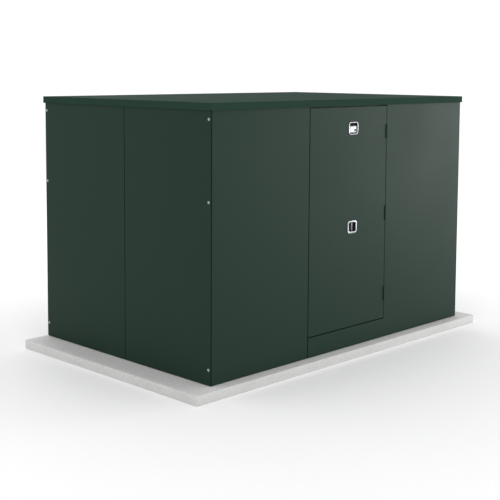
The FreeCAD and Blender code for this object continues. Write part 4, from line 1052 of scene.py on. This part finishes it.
# ------------------------------------------------------------------ cooling and breathing
@dataclass
class Cooling:
    """Fan, radiator, shroud and hoses.  Pitches are the blade's angle at root and tip."""

    blades: int = 6
    chord: float = 92.0
    blade_wall: float = 3.2
    blade_root: float = 38.0
    camber: float = 5.0
    pitches: tuple[float, float] = (32.0, 16.0)
    hose_radius: float = 19.0

    def build(self) -> list[Piece]:
        """Dress the cooling set, then make the fan and the clamps."""
        return [*dress({"fan_shroud": (BLACK_PRIMER, 0.8), "radiator": (BLACK_PRIMER, 1.5),
                        "coolant_hoses": (EPDM_RUBBER, 1.0), "radiator_cap": (TURNED_BRASS, 0.8)}),
                self.fan(), self.clamps()]

    def blade(self, tip: float) -> np.ndarray:
        """Rings of one blade along z, from its root to its tip.

        Ring k lies at radius k.  Its outline is a thin lens of the chord's length, cambered by a
        parabola and turned about z by a pitch that falls from root to tip.

        Args:
            tip: radius of its end.

        Returns:
            The rings.
        """
        share = np.linspace(0, 1, 12)[:, None]
        along = np.concatenate([np.linspace(-1, 1, 11), np.linspace(0.8, -0.8, 9)])[None]
        side = np.concatenate([np.ones(11), -np.ones(9)])[None]
        width = self.chord / 2 * (0.62 + 0.38 * np.sin(np.pi * (0.15 + 0.7 * share)))
        across = along * width
        wall = self.blade_wall * (1 - 0.75 * along ** 2) / 2 * (1.3 - 0.6 * share)
        lift = self.camber * (1 - along ** 2) + side * wall
        root_pitch, tip_pitch = self.pitches
        pitch = np.radians(root_pitch - (root_pitch - tip_pitch) * share)
        x = across * np.sin(pitch) * 0.62 + lift * np.cos(pitch)
        y = across * np.cos(pitch) - lift * np.sin(pitch) + 10 * share ** 2
        z = np.broadcast_to(self.blade_root + (tip - self.blade_root) * share, x.shape) \
            - 0.02 * np.abs(across) * share
        return np.stack([x, y, z], -1)

    def fan(self) -> Piece:
        """Moulded fan: a domed turned hub with twisted blades set round it."""
        low, high = corners("cooling_fan")
        middle = (high[0] - 20, (low[1] + high[1]) / 2, (low[2] + high[2]) / 2)
        blade = self.blade((high[2] - low[2]) / 2 - 1.5)
        skin = Skin()
        for turn in np.arange(self.blades) * 2 * np.pi / self.blades:
            spin = np.array([[1, 0, 0], [0, math.cos(turn), -math.sin(turn)],
                             [0, math.sin(turn), math.cos(turn)]])
            skin.add(blade @ spin.T + np.array(middle))
        back = low[0] - middle[0]
        hub = turned([(back, 60), (back, 72), (back + 2, 73), (back + 2, 65), (back + 18, 65),
                      (back + 18, 73), (back + 20, 72), (back + 20, 12), (-21, 12), (-20, 42),
                      (-18, 45), (15, 45), (18.5, 43), (20, 38), (20, 20), (16, 14), (16, 6)], 48)
        skin.put(Facing.RIGHT, hub, middle)
        return skin.build("moulded_fan", MOULDED_NYLON, "black_plastic", "fan", ("cooling_fan",))

    def clamps(self) -> Piece:
        """Clamps: a thin band turned round each hose end."""
        hose_low, hose_high = corners("coolant_hoses")
        head_low, head_high = corners("cylinder_head")
        block_end, radiator_start = corners("engine_block")[1][0], corners("radiator")[0][0]
        band = turned([(-6, 18.6), (-6, 20.2), (-4.5, 20.5), (4.5, 20.5), (6, 20.2), (6, 18.6)], 36)
        radius, outer = self.hose_radius, radiator_start - 14
        lower = (hose_low[1] + radius, hose_low[2] + radius)
        upper = ((head_low[1] + head_high[1]) / 2 - 50, hose_high[2] - radius)
        skin = Skin()
        for facing, place in ((Facing.RIGHT, (block_end + 16, *lower)),
                              (Facing.RIGHT, (outer, *lower)), (Facing.RIGHT, (outer, *upper)),
                              (Facing.TOP, (block_end - 30, upper[0], head_high[2] + 14))):
            skin.put(facing, band, place, looped=True)
        return skin.build("hose_clamps", ZINC_PLATE, "zinc_steel")


@dataclass
class Breathing:
    """Exhaust manifold and silencer, intake and air cleaner."""

    can_radius: float = 85.0
    can_length: float = 640.0
    cleaner_radius: float = 78.0
    rib_places: tuple[float, ...] = (-60.0, -90.0, -120.0, -150.0)

    def build(self) -> list[Piece]:
        """Dress them, then add the silencer's seams and the cleaner's ribs."""
        return [*dress({"exhaust_manifold": (BARE_IRON, 4.0), "muffler": (ALUMINISED, 3.0),
                        "air_intake": (MOULDED_NYLON, 2.5)}), self.seams(), self.cleaner()]

    def seams(self) -> Piece:
        """Rolled seams: a round bead turned near each end of the silencer's can."""
        high = corners("muffler")[1]
        radius, length = self.can_radius, self.can_length
        line = (high[0] - radius, corners("radiator")[0][1] + 15, high[2] - radius)
        skin = Skin()
        for at in (8.0, length / 3, 2 * length / 3, length - 8):
            bead = turned([(at - 4, 84), (at - 3.6, 86.5), (at, 88.2), (at + 3.6, 86.5),
                           (at + 4, 84)], 56)
            skin.put(Facing.BACK, bead, line, looped=True)
        return skin.build("silencer_seams", ALUMINISED, "exhaust_steel")

    def cleaner(self) -> Piece:
        """Ribs turned round the air cleaner's can."""
        low, high = corners("air_intake")
        radius = self.cleaner_radius
        skin = Skin()
        for at in self.rib_places:
            rib = turned([(at - 3, 72), (at - 2.4, 76), (at + 2.4, 76), (at + 3, 72)], 48)
            skin.put(Facing.RIGHT, rib, (high[0], low[1] + radius, high[2] - radius), looped=True)
        return skin.build("cleaner_ribs", MOULDED_NYLON, "black_plastic")


# ------------------------------------------------------------------ battery, controls and fuel
@dataclass
class Power:
    """Starter battery with its lid, caps, clamp and cables."""

    cable: float = 6.5
    post_rise: float = 16.0
    cell_offset: float = 30.0
    cap_count: int = 6
    cap_inset: float = 68.0
    post_inset: float = 34.0

    def build(self) -> list[Piece]:
        """Dress case and tray, then add lid, caps, hold-down and cables."""
        return [*dress({"battery_tray": (BLACK_PRIMER, 0.8), "battery": (POLYPROPYLENE, 2.5)}),
                self.lid(), self.caps(), self.strap(), *self.cables()]

    def lid(self) -> Piece:
        """Lid rim carried round the case and the raised cell cover."""
        low, high = corners("battery")
        width, depth = (high - low)[:2]
        x, y, top = (low[0] + high[0]) / 2, (low[1] + high[1]) / 2, high[2] - self.post_rise
        rim = pressing(width, depth, [(1.5, -34, 5), (-2.5, -34, 6), (-3, -32, 6), (-3, -4, 6),
                                      (-2, -1, 6), (0, 0.4, 5), (3, 0.6, 4)])
        cells = pressing(width - 90, 62, [(0, -0.5, 5), (0, 7, 5), (1.5, 9, 5), (5, 9.6, 4)])
        skin = Skin().put(Facing.TOP, rim, (x, y, top))
        return skin.put(Facing.TOP, cells, (x, y + self.cell_offset, top)).build(
            "battery_lid", POLYPROPYLENE, "black_plastic")

    def caps(self) -> Piece:
        """Six vent caps with a coin slot's rim, in a row on the cell cover."""
        low, high = corners("battery")
        middle = (low + high) / 2
        cap = turned([(-1, 11), (4, 11), (5.4, 10), (5.8, 8), (4.2, 6.5)], 24)
        inset = self.cap_inset
        skin = Skin()
        for x in np.linspace(low[0] + inset, high[0] - inset, self.cap_count):
            skin.put(Facing.TOP, cap, (x, middle[1] + self.cell_offset, high[2] - 6.6))
        return skin.build("battery_caps", ENAMEL_RED, "black_plastic")

    def strap(self) -> Piece:
        """Hold-down bar across the lid and a hook bolt at each end of it."""
        low, high = corners("battery")
        tray = corners("battery_tray")[0][2]
        x, y = low[0] + 92, (low[1] + high[1]) / 2
        depth = high[1] - low[1] + 26
        bar = pressing(22, depth, [(0, -3.4, 3), (0, 0, 3), (0.6, 1, 3), (2, 1.4, 2)], 4)
        rod = turned([((tray - high[2]) + 6, 3), (4, 3), (5, 2.2)], 14)
        skin = Skin().put(Facing.TOP, bar, (x, y, high[2] - 5))
        for side in (-1, 1):
            end = y + side * (depth / 2 - 7)
            skin.put(Facing.TOP, rod, (x, end, high[2]))
            skin.put(Facing.TOP, bolt_head(7), (x, end, high[2] - 3.6))
        return skin.build("battery_hold_down", ZINC_PLATE, "black_plastic")

    def cables(self) -> list[Piece]:
        """Terminal clamps and the cables that arch from them to the starter and the block."""
        low, high = corners("battery")
        starter_low, starter_high = corners("starter_motor")
        post_y, top = low[1] + self.post_inset, high[2]
        solenoid = (starter_low[1] + starter_high[1]) / 2 - 14
        block = corners("engine_block")[0][1] + 2
        level = starter_high[2] - 20
        # Each cable's post along X, and the lug that it ends on.
        ends = {"red": (low[0] + 39, (starter_low[0] + 70, solenoid, level), ENAMEL_RED),
                "black": (high[0] - 36, (high[0] + 8, block, level), MOULDED_NYLON)}
        collar = turned([(-14, 9), (-13.4, 14), (-3, 14), (-2, 12.5), (-2, 8.2)], 28)
        lug = turned([(-2, 9), (4, 9), (5, 8), (5, 5), (11, 5), (12, 4)], 20)
        made = []
        for name, (x, goal, finish) in ends.items():
            path = bent_line([(x, post_y + 8, top - 8), (x, post_y + 70, top + 22),
                              (x, post_y + 150, top + 20),
                              (goal[0], goal[1] - 90, goal[2] + 10), goal], 40)
            skin = Skin().put(Facing.TOP, collar, (x, post_y, top)).put(Facing.FRONT, lug, goal)
            skin.add(carried(path, circle(self.cable, 14), (1, 0, 0)))
            made.append(skin.build(f"battery_cable_{name}", finish, "black_plastic"))
        return made


@dataclass
class Controls:
    """Control box: its door, window, lamps, collar plates and hinges.

    Places are across and up from the low left corner of the box's front face.
    """

    margin: float = 7.0
    cover_foot: float = 118.0
    window: tuple[float, float] = (80.0, 182.0)
    lamp_column: float = 150.0
    lamp_rows: tuple[float, ...] = (164.0, 182.0, 200.0)
    collar_row: float = 60.0
    collar_sizes: tuple[tuple[float, float], ...] = ((40.0, 28.0), (105.0, 23.0))

    def build(self) -> list[Piece]:
        """Dress the box and its switches, then add the door's edge, window and lamps."""
        self.low, self.high = corners("control_box")
        return [*dress({"control_box": (POWDER_GREY, 2.5), "main_breaker": (MOULDED_NYLON, 1.0),
                        "breaker_toggle": (NYLON_WHITE, 0.6), "mode_switch": (MOULDED_NYLON, 0.8),
                        "stop_button": (ENAMEL_RED, 1.2)}),
                self.cover(), *self.display(), self.lamps(), self.collars()]

    def at(self, across: float, up: float) -> Spot:
        """Point on the box's front face."""
        return (self.low[0] + across, self.low[1], self.low[2] + up)

    def cover(self) -> Piece:
        """Raised upper door of the box, its two fasteners and its hinge barrels."""
        width, _, height = self.high - self.low
        top = self.cover_foot - self.margin
        door = pressing(width - 2 * self.margin, height - self.cover_foot - self.margin,
                        [(0, -1, 5), (0, 1.6, 5), (0.5, 2.4, 5), (1.6, 2.8, 4)], 4)
        fastener = turned([(-1, 6.5), (3.4, 6.5), (4.2, 5.6), (4.2, 3), (3.2, 2.6)], 24)
        barrel = turned([(-13, 3.2), (-12.4, 3.8), (12.4, 3.8), (13, 3.2)], 16)
        skin = Skin().put(Facing.FRONT, door, self.at(width / 2, (height + top) / 2))
        for up in (140, height - 30):
            skin.put(Facing.FRONT, fastener, self.at(width - 20, up))
            x, y, z = self.at(5, up)
            skin.put(Facing.TOP, barrel, (x, y - 2, z))
        return skin.build("control_cover", POWDER_GREY, "grey_box")

    def display(self) -> list[Piece]:
        """Smoked window in a moulded bezel."""
        middle = self.at(*self.window)
        bezel = pressing(100, 56, [(6, 0, 4), (0, 0, 6), (0, 4.5, 6), (1, 5.6, 5), (5, 5.6, 4),
                                   (6, 4.2, 3.5)])
        glass = pressing(89, 45, [(0, 0, 3.5), (0, 3.4, 3.5), (1, 3.7, 3)])
        return [Skin().put(Facing.FRONT, bezel, middle, looped=True).build(
                    "display_bezel", MOULDED_NYLON, "grey_box"),
                Skin().put(Facing.FRONT, glass, middle).build(
                    "display_window", ACRYLIC_SMOKE, "grey_box")]

    def lamps(self) -> Piece:
        """Three domed status lamps in a column."""
        lamp = turned([(-1, 6), (3.4, 6), (3.6, 4.6), (5.4, 4.2), (6.6, 3.1), (7.1, 1.4)], 24)
        skin = Skin()
        for up in self.lamp_rows:
            skin.put(Facing.FRONT, lamp, self.at(self.lamp_column, up))
        return skin.build("status_lamps", LAMP_GREEN, "grey_box")

    def collars(self) -> Piece:
        """Yellow collar behind the stop button and a ring behind the mode switch."""
        skin = Skin()
        for across, outer in self.collar_sizes:
            ring = turned([(-1, outer - 9), (-1, outer), (1.4, outer), (2, outer - 0.8),
                           (2, outer - 9)], 40)
            skin.put(Facing.FRONT, ring, self.at(across, self.collar_row), looped=True)
        return skin.build("switch_collars", EPOXY_YELLOW, "grey_box")


@dataclass
class Fuel:
    """Gas pipe, cock and regulator at the back wall."""

    bolt_count: int = 8
    bolt_circle: float = 56.0
    rim_radius: float = 65.0
    hose: float = 11.0

    def build(self) -> list[Piece]:
        """Dress them, then add the regulator's rim bolts and the flexible line."""
        return [*dress({"fuel_pipe": (EPOXY_YELLOW, 0.8), "gas_regulator": (CAST_ALUMINIUM, 2.0),
                        "fuel_cock": (TURNED_BRASS, 0.6)}), self.rim_bolts(), self.line()]

    def rim_bolts(self) -> Piece:
        """Bolts round the regulator's diaphragm rim."""
        low, high = corners("gas_regulator")
        reach = self.bolt_circle
        skin = Skin()
        for turn in np.arange(self.bolt_count) * 2 * np.pi / self.bolt_count:
            skin.put(Facing.FRONT, bolt_head(6),
                     ((low[0] + high[0]) / 2 + reach * math.cos(turn), low[1],
                      high[2] - self.rim_radius + reach * math.sin(turn)))
        return skin.build("regulator_bolts", ZINC_PLATE, "aluminium")

    def line(self) -> Piece:
        """Flexible gas line: a round section carried from the regulator up to the intake."""
        low, high = corners("gas_regulator")
        head_low, head_high = corners("cylinder_head")
        x, y, z = (low[0] + high[0]) / 2, (low[1] + high[1]) / 2 - 6, high[2] - 4
        goal = (head_low[0] - 12, head_high[1] - 60, head_high[2] - 40)
        path = bent_line([(x, y, z), (x, y, z + 120), (x - 200, y + 20, z + 200),
                          (goal[0] - 110, y, goal[2]), (goal[0] - 70, goal[1], goal[2]),
                          (goal[0] + 20, goal[1], goal[2])], 60)
        return Skin().add(carried(path, circle(self.hose, 16), (0, 0.3, 1))).build(
            "gas_line", EPDM_RUBBER, "yellow_pipe")


def main() -> None:
    """Build the sub-assemblies in order and report each piece."""
    logging.basicConfig(level=logging.INFO, format="%(name)s: %(message)s")
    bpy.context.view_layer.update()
    for assembly in (Studio(), Pad(), Cabinet(), ServiceDoor(), Latches(), Engine(), Alternator(),
                     Cooling(), Breathing(), Power(), Controls(), Fuel()):
        for piece in assembly.build():
            LOG.info("%s: %s, %d faces", type(assembly).__name__, piece.name,
                     len(piece.data.polygons))


if __name__ == "__main__":
    main()
